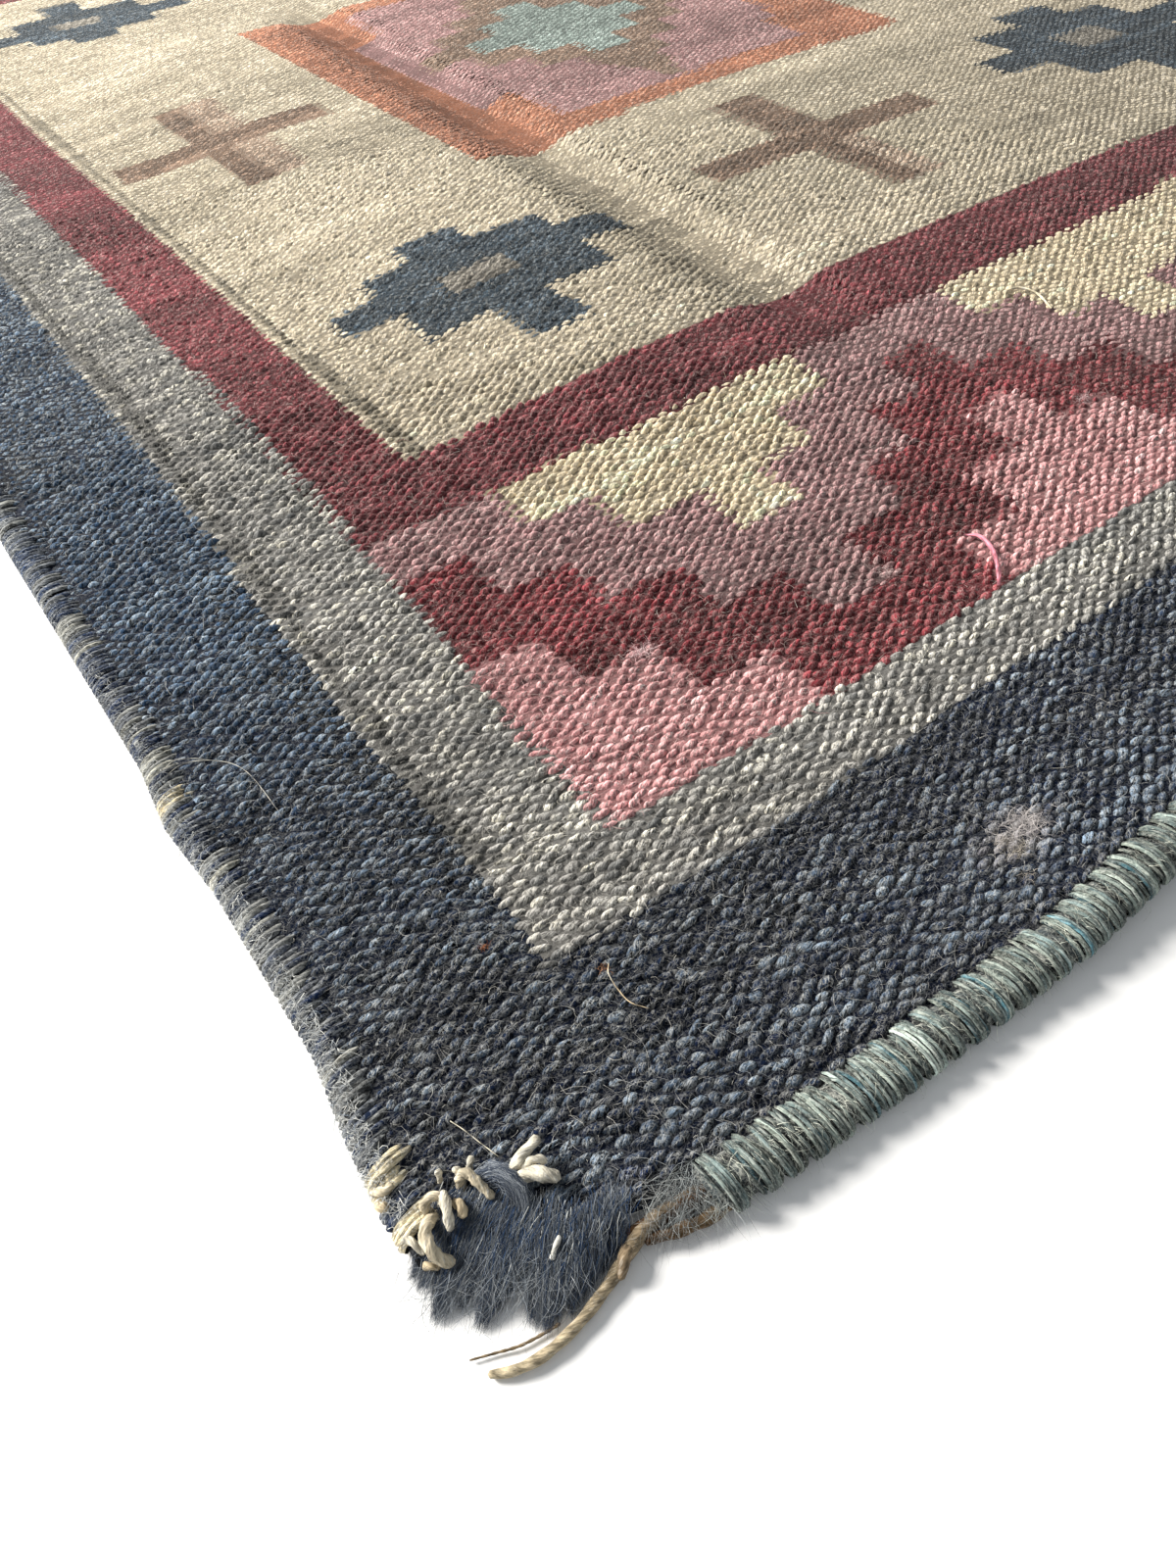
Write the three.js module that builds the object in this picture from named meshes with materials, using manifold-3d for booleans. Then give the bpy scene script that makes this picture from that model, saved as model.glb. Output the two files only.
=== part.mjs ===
// A flat-woven wool rug, 0.85 m wide and 1.21 m long, lying on a floor.
// Millimetres, +Z up. Inside this file a place on the rug is given in plan:
// x from the left selvedge, y from the outer edge of the near end, z from the floor.
// The whole group is then moved so that the origin is on the floor under the middle of the rug.
import * as THREE from "three";
import { mergeVertices } from "three/addons/utils/BufferGeometryUtils.js";
import Module from "manifold-3d";

const wasm = await Module();
wasm.setup();

// Driving dimensions
const RUG_WIDTH = 850;
const RUG_LENGTH = 1210;
const CLOTH_THICK = 4.5;
const SELVEDGE_THICK = 5.6;
const BINDING_WIDTH = 11;
const BINDING_HEIGHT = 6.8;
const TURN_PITCH = 6;
const TURN_VALLEY = 0.84;
const TURN_SLANT = 0.3;
const GAP = 0.3;

// How far each selvedge wanders outwards or inwards along the rug
const SELVEDGES = [
  { y: 0, left: -4.0, right: 0.0 },
  { y: 42, left: -4.2, right: 1.2 },
  { y: 60, left: -2.6, right: 1.6 },
  { y: 78, left: 0.0, right: 0.8 },
  { y: 130, left: 0.0, right: -1.0 },
  { y: 156, left: -2.2, right: -0.4 },
  { y: 180, left: 0.0, right: 0.6 },
  { y: 300, left: -0.9, right: 2.4 },
  { y: 470, left: 1.6, right: 0.2 },
  { y: 640, left: -1.2, right: 4.2 },
  { y: 830, left: 1.0, right: 1.4 },
  { y: 1000, left: -1.6, right: -1.2 },
  { y: 1210, left: -0.6, right: 0.8 },
];

// How far each bound end wanders; a positive number is towards the far end
const ENDS = [
  { x: 0, near: 8.0, far: 0.4 },
  { x: 38, near: 3.2, far: -0.6 },
  { x: 60, near: 0.9, far: -0.9 },
  { x: 90, near: -0.8, far: -1.0 },
  { x: 144, near: -2.5, far: 0.4 },
  { x: 175, near: -0.6, far: 1.0 },
  { x: 320, near: 1.5, far: -1.4 },
  { x: 500, near: -1.2, far: 2.5 },
  { x: 680, near: 1.2, far: 0.2 },
  { x: 850, near: -0.4, far: -0.8 },
];

// The worn corner: where the woven ground now ends, from the selvedge to the first binding turn
const WORN_EDGE = [
  { x: -4.2, y: 27 },
  { x: 0, y: 33.5 },
  { x: 4, y: 36.5 },
  { x: 9, y: 37.5 },
  { x: 14, y: 36.5 },
  { x: 18.5, y: 32 },
  { x: 22.5, y: 24 },
  { x: 27, y: 15.5 },
  { x: 36, y: 14.6 },
];

// The buckle across the ground: a low swell with a narrow crease in it that touches the floor
const BUCKLE = {
  high: 5.5,
  riseFrom: 130,
  riseOver: 95,
  fallFrom: 430,
  fallOver: 260,
  startsAt: 185,
  endsAt: 800,
  fade: 90,
  creaseAt: 274,
  creaseDrift: 0.066,
  creaseHalf: 26,
};

// Other places where the rug stands a little off the floor
const SWELLS = [
  { x: 168, y: 8, across: 60, along: 55, high: 2.2 },
  { x: 70, y: 330, across: 68, along: 90, high: 2.4 },
  { x: 92, y: 560, across: 80, along: 110, high: 2.0 },
  { x: 640, y: 1010, across: 150, along: 130, high: 2.6 },
  { x: 790, y: 420, across: 58, along: 120, high: 2.2 },
];

// The binding's section: out from the cloth, and up, as parts of its width and height
const BINDING_SECTION = [
  { out: 0.0, up: 0.0 },
  { out: 0.74, up: 0.0 },
  { out: 1.0, up: 0.36 },
  { out: 0.86, up: 0.82 },
  { out: 0.42, up: 1.0 },
  { out: 0.0, up: 0.7 },
];

// Distances in from a selvedge, and the height of the cloth's two faces there
const SELVEDGE_PROFILE = [
  { in: 0, under: 1.2, over: 3.4 },
  { in: 1.4, under: 0.2, over: 5.0 },
  { in: 4, under: 0, over: SELVEDGE_THICK },
  { in: 9, under: 0, over: CLOTH_THICK },
];

// Spacing of the cloth's grid: fine over the crease, coarser beside it and coarse elsewhere
const CREASE_COLUMNS = { from: 258, to: 346, step: 11 };
const SWELL_COLUMNS = { from: 115, to: 235, step: 30 };
const OPEN_COLUMNS = { from: 400, to: 811, step: 58 };
const OPEN_ROWS = { from: 210, to: 1160, step: 48 };
const FIRST_ROW = 14;
const LEAST_COLUMN_STEP = 1.2;

// Small helpers on numbers
const clamp01 = (t) => Math.min(1, Math.max(0, t));
const smooth = (t) => clamp01(t) ** 2 * (3 - 2 * clamp01(t));
const bump = (t) => (Math.abs(t) < 1 ? (1 - t * t) ** 2 : 0);
const mix = (a, b, t) => a + (b - a) * t;

// The value in a table's column, on the straight line between the two rows either side
function between(rows, key, column, at) {
  const next = rows.findIndex((row) => row[key] > at);
  if (next === 0) {
    return rows[0][column];
  }
  if (next < 0) {
    return rows[rows.length - 1][column];
  }
  const a = rows[next - 1];
  const b = rows[next];
  return mix(a[column], b[column], (at - a[key]) / (b[key] - a[key]));
}

// How high the underside of the rug stands off the floor
function liftAt(x, y) {
  const across = smooth((x - BUCKLE.riseFrom) / BUCKLE.riseOver)
    * (1 - smooth((x - BUCKLE.fallFrom) / BUCKLE.fallOver));
  const along = smooth((y - BUCKLE.startsAt) / BUCKLE.fade)
    * (1 - smooth((y - BUCKLE.endsAt + BUCKLE.fade) / BUCKLE.fade));
  const crease = bump((x - BUCKLE.creaseAt - BUCKLE.creaseDrift * y) / BUCKLE.creaseHalf);
  let lift = BUCKLE.high * across * along * (1 - crease);
  for (const swell of SWELLS) {
    lift += swell.high * bump((x - swell.x) / swell.across) * bump((y - swell.y) / swell.along);
  }
  return lift;
}

// Where the woven ground ends near and far
function nearEdgeOfCloth(x) {
  if (x < WORN_EDGE[WORN_EDGE.length - 1].x) {
    return between(WORN_EDGE, "x", "y", x);
  }
  return between(ENDS, "x", "near", x) + BINDING_WIDTH + GAP;
}

function farEdgeOfCloth(x) {
  return RUG_LENGTH + between(ENDS, "x", "far", x) - BINDING_WIDTH - GAP;
}

// The place in plan of a point of the cloth, from its column and row in a straight-sided rug
function planAt(column, row) {
  let [x, y] = [column, row];
  for (let pass = 0; pass < 3; pass += 1) {
    const left = between(SELVEDGES, "y", "left", y) * (1 - column / RUG_WIDTH);
    const right = between(SELVEDGES, "y", "right", y) * (column / RUG_WIDTH);
    x = column + left + right;
    y = mix(nearEdgeOfCloth(x), farEdgeOfCloth(x), row / RUG_LENGTH);
  }
  return [x, y];
}

// Sorts places along one side and drops any that lie closer than the least step
function tidied(places, leastStep) {
  const sorted = [...places].sort((a, b) => a - b);
  const kept = [sorted[0]];
  for (const place of sorted.slice(1)) {
    if (place - kept[kept.length - 1] >= leastStep) {
      kept.push(place);
    }
  }
  return kept;
}

function steps({ from, to, step }) {
  const places = [];
  for (let at = from; at <= to + 1e-6; at += step) {
    places.push(at);
  }
  return places;
}

// A closed body between two faces that share one grid of columns and rows
function sheetGeometry(columns, rows, pointAt) {
  const position = [];
  const index = [];
  const wide = columns.length;
  const long = rows.length;
  for (const side of ["under", "over"]) {
    for (const row of rows) {
      for (const column of columns) {
        position.push(...pointAt(column, row, side));
      }
    }
  }
  const at = (i, j, over) => (over ? wide * long : 0) + j * wide + i;
  const quad = (a, b, c, d) => index.push(a, b, c, a, c, d);
  for (let j = 0; j + 1 < long; j += 1) {
    for (let i = 0; i + 1 < wide; i += 1) {
      quad(at(i, j, true), at(i + 1, j, true), at(i + 1, j + 1, true), at(i, j + 1, true));
      quad(at(i, j), at(i, j + 1), at(i + 1, j + 1), at(i + 1, j));
    }
  }
  for (let i = 0; i + 1 < wide; i += 1) {
    quad(at(i, 0), at(i + 1, 0), at(i + 1, 0, true), at(i, 0, true));
    quad(at(i + 1, long - 1), at(i, long - 1), at(i, long - 1, true), at(i + 1, long - 1, true));
  }
  for (let j = 0; j + 1 < long; j += 1) {
    quad(at(0, j + 1), at(0, j), at(0, j, true), at(0, j + 1, true));
    quad(at(wide - 1, j), at(wide - 1, j + 1), at(wide - 1, j + 1, true), at(wide - 1, j, true));
  }
  return geometryFrom(position, index);
}

// A closed body through a row of rings with equally many points, with a flat cap at each end
function loftGeometry(rings) {
  const position = rings.flat(2);
  const sides = rings[0].length;
  const index = [];
  for (let k = 0; k + 1 < rings.length; k += 1) {
    for (let i = 0; i < sides; i += 1) {
      const a = k * sides + i;
      const b = k * sides + ((i + 1) % sides);
      index.push(a, b, b + sides, a, b + sides, a + sides);
    }
  }
  const end = (rings.length - 1) * sides;
  for (let i = 1; i + 1 < sides; i += 1) {
    index.push(0, i + 1, i);
    index.push(end, end + i, end + i + 1);
  }
  return geometryFrom(position, index);
}

function geometryFrom(position, index) {
  const geometry = new THREE.BufferGeometry();
  geometry.setAttribute("position", new THREE.Float32BufferAttribute(position, 3));
  geometry.setIndex(index);
  return geometry;
}

// Makes the faces of a closed body point outwards, whichever way its rings ran
function facingOut(geometry) {
  const p = geometry.attributes.position;
  const index = geometry.index.array;
  const [a, b, c] = [new THREE.Vector3(), new THREE.Vector3(), new THREE.Vector3()];
  let volume = 0;
  for (let i = 0; i < index.length; i += 3) {
    a.fromBufferAttribute(p, index[i]);
    b.fromBufferAttribute(p, index[i + 1]);
    c.fromBufferAttribute(p, index[i + 2]);
    volume += a.dot(b.cross(c));
  }
  if (volume < 0) {
    for (let i = 0; i < index.length; i += 3) {
      [index[i], index[i + 1]] = [index[i + 1], index[i]];
    }
  }
  return geometry;
}

// Joins closed bodies into one solid
function joined(geometries) {
  const solids = geometries.map((geometry) => {
    const merged = mergeVertices(facingOut(geometry), 1e-4);
    return new wasm.Manifold(new wasm.Mesh({
      numProp: 3,
      vertProperties: new Float32Array(merged.attributes.position.array),
      triVerts: new Uint32Array(merged.index.array),
    }));
  });
  const mesh = solids.reduce((whole, next) => whole.add(next)).getMesh();
  return geometryFrom(Array.from(mesh.vertProperties), Array.from(mesh.triVerts));
}

function namedMesh(name, geometry, color, roughness) {
  geometry.computeVertexNormals();
  const material = new THREE.MeshStandardMaterial({ color, roughness, metalness: 0 });
  const mesh = new THREE.Mesh(geometry, material);
  mesh.name = name;
  return mesh;
}

// Woven ground: one cloth, thicker at the selvedges, with its buckle and swells
function rugCloth() {
  const rim = SELVEDGE_PROFILE.map((row) => row.in);
  const columns = tidied([
    ...rim,
    ...WORN_EDGE.slice(1).map((row) => row.x - SELVEDGES[0].left),
    ...ENDS.map((row) => row.x),
    ...steps(SWELL_COLUMNS),
    ...steps(CREASE_COLUMNS),
    ...steps(OPEN_COLUMNS),
    ...rim.map((inwards) => RUG_WIDTH - inwards),
  ], LEAST_COLUMN_STEP);
  const rows = tidied(
    [0, FIRST_ROW, ...SELVEDGES.map((row) => row.y), ...steps(OPEN_ROWS)],
    FIRST_ROW,
  );
  const heightAt = (x, side) => between(SELVEDGE_PROFILE, "in", side, Math.min(x, RUG_WIDTH - x));
  return sheetGeometry(columns, rows, (column, row, side) => {
    const [x, y] = planAt(column, row);
    return [x, y, heightAt(column, side) + liftAt(x, y)];
  });
}

// Overcast end: turns of yarn side by side, standing proud of the hollows between them
function endBinding(end, fromX, toX) {
  const sign = end === "near" ? -1 : 1;
  const outer = (x) => (end === "near" ? 0 : RUG_LENGTH) + between(ENDS, "x", end, x);
  const stations = steps({ from: fromX, to: toX, step: TURN_PITCH / 2 });
  const rings = stations.map((station, k) => {
    const proud = k % 2 === 0 ? TURN_VALLEY : 1;
    const slants = k > 0 && k < stations.length - 1;
    return BINDING_SECTION.map(({ out, up }) => {
      const width = BINDING_WIDTH * out * (out > 0.5 ? proud : 1);
      const lean = slants && up > 0 ? TURN_SLANT * BINDING_WIDTH * (0.5 - out) : 0;
      const x = station + lean;
      const y = outer(x) + sign * (width - BINDING_WIDTH);
      return [x, y, BINDING_HEIGHT * up * proud + liftAt(x, y)];
    });
  });
  return facingOut(loftGeometry(rings));
}

// A strand that lies on the floor: flat underneath, with a peaked top
function floorStrand(route) {
  const rings = route.map((point, k) => {
    const before = route[Math.max(0, k - 1)];
    const after = route[Math.min(route.length - 1, k + 1)];
    const run = Math.hypot(after.x - before.x, after.y - before.y);
    const sideX = (-(after.y - before.y) / run) * point.wide * 0.5;
    const sideY = ((after.x - before.x) / run) * point.wide * 0.5;
    const base = point.z ?? 0;
    return [
      [point.x - sideX, point.y - sideY, base],
      [point.x + sideX, point.y + sideY, base],
      [point.x + sideX * 0.5, point.y + sideY * 0.5, base + point.high],
      [point.x - sideX * 0.5, point.y - sideY * 0.5, base + point.high],
    ];
  });
  return loftGeometry(rings);
}

// A curled end of cotton: a square strand along a smooth curve through its points
function curledStrand(points, thick) {
  const curve = new THREE.CatmullRomCurve3(points.map((p) => new THREE.Vector3(...p)));
  const count = points.length * 2;
  const frames = curve.computeFrenetFrames(count, false);
  const rings = steps({ from: 0, to: count, step: 1 }).map((k) => {
    const centre = curve.getPointAt(k / count);
    return [45, 135, 225, 315].map((degrees) => {
      const angle = THREE.MathUtils.degToRad(degrees);
      return centre.clone()
        .addScaledVector(frames.normals[k], Math.cos(angle) * thick * 0.6)
        .addScaledVector(frames.binormals[k], Math.sin(angle) * thick * 0.6)
        .toArray();
    });
  });
  return loftGeometry(rings);
}

// Bare warps at the worn corner: a strip along the cloth's edge, with the ends that leave it
function warpEnds() {
  const stripWide = 2.6;
  const stripOut = GAP + 0.2 + stripWide / 2;
  const strip = WORN_EDGE.slice(0, -1).map((point, k) => {
    const before = WORN_EDGE[Math.max(0, k - 1)];
    const after = WORN_EDGE[k + 1];
    const run = Math.hypot(after.x - before.x, after.y - before.y);
    return {
      x: point.x + ((after.y - before.y) / run) * stripOut,
      y: point.y - ((after.x - before.x) / run) * stripOut,
      wide: stripWide,
      high: 3.6,
    };
  });
  const core = [
    { x: 30.0, y: 12.0, wide: 3.4, high: 3.6 },
    { x: 34.5, y: 11.6, wide: 4.4, high: 4.2 },
    { x: 39.6, y: 11.0, wide: 4.4, high: 4.2 },
  ];
  const looseEnd = [
    { x: 33.6, y: 10.6, wide: 3.0, high: 3.0 },
    { x: 28.6, y: 8.8, wide: 3.2, high: 3.0 },
    { x: 22.5, y: 6.6, wide: 3.2, high: 3.0 },
    { x: 15.0, y: 4.6, wide: 3.0, high: 2.8 },
    { x: 7.5, y: 4.2, wide: 2.6, high: 2.4 },
    { x: 2.0, y: 5.4, wide: 2.2, high: 2.0 },
    { x: -2.2, y: 7.6, wide: 1.6, high: 1.4 },
  ];
  const curls = [
    { thick: 2.2, points: [[4.7, 34.4, 2.2], [2.6, 33.2, 7.0], [0.6, 30.6, 8.0], [1.4, 27.4, 4.6]] },
    { thick: 2.0, points: [[6.4, 35.0, 2.2], [6.4, 34.8, 7.0], [5.6, 32.6, 8.6], [5.0, 30.0, 6.8]] },
    { thick: 2.0, points: [[9.4, 35.4, 2.2], [9.8, 35.2, 7.0], [8.8, 33.4, 8.6], [8.4, 31.0, 6.6]] },
    { thick: 2.2, points: [[12.6, 34.8, 2.2], [11.6, 35.2, 7.4], [12.6, 34.0, 8.8], [14.0, 29.6, 6.2]] },
    { thick: 2.0, points: [[15.2, 32.6, 2.4], [15.8, 32.8, 7.4], [19.6, 33.2, 8.0], [27.0, 35.2, 7.0]] },
    { thick: 2.6, points: [[17.4, 29.6, 2.4], [17.6, 29.8, 7.2], [21.4, 29.4, 8.2], [25.8, 26.0, 7.2]] },
    { thick: 2.0, points: [[-1.6, 28.4, 2.2], [-1.8, 29.6, 7.0], [-2.4, 33.0, 7.8], [-2.0, 37.5, 7.4]] },
  ];
  return joined([
    floorStrand([...strip, ...core]),
    floorStrand(looseEnd),
    ...curls.map(({ points, thick }) => curledStrand(points, thick)),
  ]);
}

// Loose weft wool: a root slab with a fan of locks that taper to points
function woolTuft() {
  const root = [
    { x: 13.8, y: 27.0, wide: 5.0, high: 5.0 },
    { x: 16.8, y: 21.0, wide: 5.4, high: 5.6 },
    { x: 20.4, y: 14.4, wide: 4.6, high: 5.0 },
  ];
  const locks = [
    { tip: [-3.9, 21.2], from: [14.4, 26.0], wide: 5.0 },
    { tip: [-2.2, 18.4], from: [15.0, 24.2], wide: 4.6 },
    { tip: [1.4, 15.4], from: [15.8, 22.4], wide: 4.8 },
    { tip: [4.6, 14.0], from: [16.8, 20.8], wide: 4.4 },
    { tip: [7.6, 13.0], from: [17.8, 19.2], wide: 4.2 },
    { tip: [9.4, 10.6], from: [18.8, 17.6], wide: 4.6 },
    { tip: [11.0, 8.2], from: [19.6, 16.2], wide: 4.8 },
    { tip: [15.2, 8.0], from: [20.6, 14.6], wide: 4.0 },
  ];
  const shares = [0, 0.35, 0.7, 1];
  const lockSolids = locks.map(({ tip, from, wide }) => floorStrand(shares.map((share) => ({
    x: mix(from[0], tip[0], share),
    y: mix(from[1], tip[1], share) + 0.9 * Math.sin(Math.PI * share),
    wide: mix(wide, 0.8, share ** 2),
    high: mix(5.4, 0.8, share ** 1.3),
  }))));
  return joined([floorStrand(root), ...lockSolids]);
}

// The rug, each piece in its own mesh
const rug = new THREE.Group();
rug.position.set(-RUG_WIDTH / 2, -RUG_LENGTH / 2, 0);
rug.add(
  namedMesh("rug_cloth", rugCloth(), 0x5a5f6e, 0.95),
  namedMesh("end_binding_near", endBinding("near", 40, 849), 0x7a8280, 0.95),
  namedMesh("end_binding_far", endBinding("far", 1, 849), 0x7a8280, 0.95),
  namedMesh("warp_ends", warpEnds(), 0xcfc09a, 0.9),
  namedMesh("wool_tuft", woolTuft(), 0x4c5866, 0.95),
);

export default rug;
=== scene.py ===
# %% [markdown]
# # A flat-woven kilim, seen from its worn corner
# The rug is a weft-faced plain weave: wool wefts packed so tightly over cotton warps
# that only the wool shows, as many thousands of small slanted stitches. The packed
# solids give its size and how it lies. Here the looks are built around them, in metres.
# Everything below works in the weaver's millimetres first: x from the left selvedge,
# y from the outer edge of the near end, z from the floor.

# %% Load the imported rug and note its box
import math
import bpy
import numpy as np
from mathutils import Matrix


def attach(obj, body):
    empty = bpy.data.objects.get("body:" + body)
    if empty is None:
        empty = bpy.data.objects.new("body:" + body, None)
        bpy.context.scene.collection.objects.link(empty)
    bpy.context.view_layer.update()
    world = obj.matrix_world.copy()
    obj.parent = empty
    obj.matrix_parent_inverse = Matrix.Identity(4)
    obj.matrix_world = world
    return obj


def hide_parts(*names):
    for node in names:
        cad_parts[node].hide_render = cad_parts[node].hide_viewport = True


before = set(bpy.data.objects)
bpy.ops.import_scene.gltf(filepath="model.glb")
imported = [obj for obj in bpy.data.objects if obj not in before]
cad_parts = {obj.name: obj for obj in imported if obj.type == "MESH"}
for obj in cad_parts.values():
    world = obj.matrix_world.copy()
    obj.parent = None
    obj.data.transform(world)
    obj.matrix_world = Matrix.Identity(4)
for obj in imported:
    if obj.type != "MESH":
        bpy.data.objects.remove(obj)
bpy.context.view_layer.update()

# %% [markdown]
# ## The camera and the room
# The photograph was taken low over the worn corner, looking up the rug. The rug's long
# lines and its cross lines each run to a vanishing point. Taken as square to each other,
# the two points give the camera's turn and its focal length. Its height over the rug is
# the unit of length that the perspective leaves open, and the usual size of such yarns
# sets it. The room is a white floor with a broad lamp to the left, over two metres away,
# so each stitch gets a soft shadow on its right side, and a pale sky for fill.

# %% Camera
PHOTO_SIZE = (1200, 1600)
FOCAL_PIXELS = 1090.3
SENSOR_TALL = 36.0
CAMERA_AT = np.array([-0.42755, -0.64697, 0.2045])
CAMERA_RIGHT = np.array([0.81047, -0.58310, -0.05597])
CAMERA_DOWN = np.array([-0.47588, -0.59969, -0.64336])
CAMERA_AHEAD = np.array([0.34158, 0.54806, -0.76351])

lens = bpy.data.cameras.new("photo_camera")
lens.sensor_fit = "VERTICAL"
lens.sensor_height = SENSOR_TALL
lens.lens = FOCAL_PIXELS / PHOTO_SIZE[1] * SENSOR_TALL
lens.clip_start = 0.01
camera = bpy.data.objects.new("photo_camera", lens)
turn = np.eye(4)
turn[:3, 0] = CAMERA_RIGHT
turn[:3, 1] = -CAMERA_DOWN
turn[:3, 2] = -CAMERA_AHEAD
turn[:3, 3] = CAMERA_AT
camera.matrix_world = Matrix(turn.tolist())
scene = bpy.context.scene
scene.collection.objects.link(camera)
scene.camera = camera
scene.view_settings.view_transform = "Standard"
print("lens of", round(lens.lens, 2), "mm")


def photo_pixel(points):
    """Where points in metres fall in the photograph: offsets from the camera, measured
    along its right and down axes, divided by the distance ahead, times the focal length."""
    away = points - CAMERA_AT
    ahead = away @ CAMERA_AHEAD
    across = away @ CAMERA_RIGHT / ahead * FOCAL_PIXELS + PHOTO_SIZE[0] / 2
    down = away @ CAMERA_DOWN / ahead * FOCAL_PIXELS + PHOTO_SIZE[1] / 2
    return across, down, ahead


# %% Lamp and sky
LAMP_AT = (-1.5, 1.2, 1.28)
LAMP_AIM = (-0.1, 0.0, 0.0)
LAMP_SIDE = 0.9
LAMP_WATTS = 147.0
SKY_STRENGTH = 0.41

lamp_data = bpy.data.lights.new("window_lamp", "AREA")
lamp_data.shape = "SQUARE"
lamp_data.size = LAMP_SIDE
lamp_data.energy = LAMP_WATTS
lamp_data.color = (1.0, 0.965, 0.91)
lamp = bpy.data.objects.new("window_lamp", lamp_data)
lamp_ray = np.array(LAMP_AIM) - np.array(LAMP_AT)
lamp_back = -lamp_ray / np.linalg.norm(lamp_ray)
lamp_side = np.cross([0, 0, 1], lamp_back)
lamp_side /= np.linalg.norm(lamp_side)
lamp_turn = np.eye(4)
lamp_turn[:3, 0] = lamp_side
lamp_turn[:3, 1] = np.cross(lamp_back, lamp_side)
lamp_turn[:3, 2] = lamp_back
lamp_turn[:3, 3] = LAMP_AT
lamp.matrix_world = Matrix(lamp_turn.tolist())
scene.collection.objects.link(lamp)

sky = bpy.data.worlds.new("pale_sky")
sky.use_nodes = True
sky.node_tree.nodes["Background"].inputs["Color"].default_value = (0.93, 0.97, 1.0, 1)
sky.node_tree.nodes["Background"].inputs["Strength"].default_value = SKY_STRENGTH
scene.world = sky
print("lamp", round(float(np.linalg.norm(lamp_ray)), 2), "m away")

# %% [markdown]
# ## How the rug lies
# Cloth that has been folded keeps a memory of it. Two long low swells stay up off the
# floor with a crease between them, and the worn corner curls up a little. The same
# named heights as in the solids are used, so the cloth drawn here lies on them.

# %% Sizes and edges of the cloth
MM = 0.001
RUG_WIDE = 850.0
RUG_LONG = 1210.0
BINDING_WIDE = 11.0
EDGE_GAP = 0.3

# y, how far the left selvedge and the right selvedge stray from straight
SELVEDGES = np.array([
    (0, -4.0, 0.0), (42, -4.2, 1.2), (60, -2.6, 1.6), (78, 0, 0.8), (130, 0, -1.0),
    (156, -2.2, -0.4), (180, 0, 0.6), (300, -0.9, 2.4), (470, 1.6, 0.2), (640, -1.2, 4.2),
    (830, 1.0, 1.4), (1000, -1.6, -1.2), (1210, -0.6, 0.8),
])
# x, how far the near end and the far end stray
ENDS = np.array([
    (0, 8.0, 0.4), (38, 3.2, -0.6), (60, 0.9, -0.9), (90, -0.8, -1.0), (144, -2.5, 0.4),
    (175, -0.6, 1.0), (320, 1.5, -1.4), (500, -1.2, 2.5), (680, 1.2, 0.2), (850, -0.4, -0.8),
])
# where the weave ends at the worn corner
WORN_EDGE = np.array([
    (-4.2, 27), (0, 33.5), (4, 36.5), (9, 37.5), (14, 36.5),
    (18.5, 32), (22.5, 24), (27, 15.5), (36, 14.6),
])


def near_end(x):
    """How far the near end strays at x, read between the rows of the table."""
    return np.interp(x, ENDS[:, 0], ENDS[:, 1])


def far_end(x):
    """How far the far end strays at x."""
    return np.interp(x, ENDS[:, 0], ENDS[:, 2])


def worn_edge(x):
    """Where the weave ends at the worn corner, and far below nothing beyond it."""
    return np.where(x < WORN_EDGE[-1, 0], np.interp(x, WORN_EDGE[:, 0], WORN_EDGE[:, 1]), -99.0)


def plan_at(column, row, follow_wear=False):
    """The place in plan of a column and row of a straight-sided rug: the column moves by
    each selvedge's stray in proportion to its nearness, and the row is a mix of the near
    and the far edge of the cloth. Three passes settle the two. follow_wear bends the
    rows round the worn corner too, as a slab's edge does and a row of weft does not."""
    x, y = column, row
    inset = BINDING_WIDE + EDGE_GAP
    for _ in range(3):
        share = column / RUG_WIDE
        left = np.interp(y, SELVEDGES[:, 0], SELVEDGES[:, 1]) * (1 - share)
        right = np.interp(y, SELVEDGES[:, 0], SELVEDGES[:, 2]) * share
        x = column + left + right
        near = near_end(np.maximum(x, WORN_EDGE[-1, 0])) + inset
        far = RUG_LONG + far_end(x) - inset
        y = near + (far - near) * row / RUG_LONG
        if follow_wear:
            y = np.maximum(y, worn_edge(x) + (y - near) * 0.5)
    return x, y


# %% Height of the cloth above the floor
BUCKLE_HIGH = 5.5
# where the buckle starts to rise and over how far, and where it starts to fall and over
# how far: across the rug and along it
BUCKLE_ACROSS = (130, 95, 430, 260)
BUCKLE_ALONG = (185, 90, 710, 90)
CREASE_AT = 274.0
CREASE_DRIFT = 0.066
CREASE_HALF = 26.0
# x, y, half width, half length, height of each local swell
SWELLS = (
    (168, 8, 60, 55, 2.2), (70, 330, 68, 90, 2.4), (92, 560, 80, 110, 2.0),
    (640, 1010, 150, 130, 2.6), (790, 420, 58, 120, 2.2),
)


def smooth(t):
    """An eased step: t squared times 3 - 2t, held between 0 and 1."""
    t = np.clip(t, 0, 1)
    return t * t * (3 - 2 * t)


def bump(t):
    """A round hump: the square of 1 - t squared, and nothing beyond t = 1."""
    return np.where(np.abs(t) < 1, (1 - np.minimum(t * t, 1)) ** 2, 0)


def plateau(t, rise_at, rise, fall_at, fall):
    """1 in the middle, eased up from rise_at over rise and down from fall_at over fall."""
    return smooth((t - rise_at) / rise) * (1 - smooth((t - fall_at) / fall))


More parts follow.
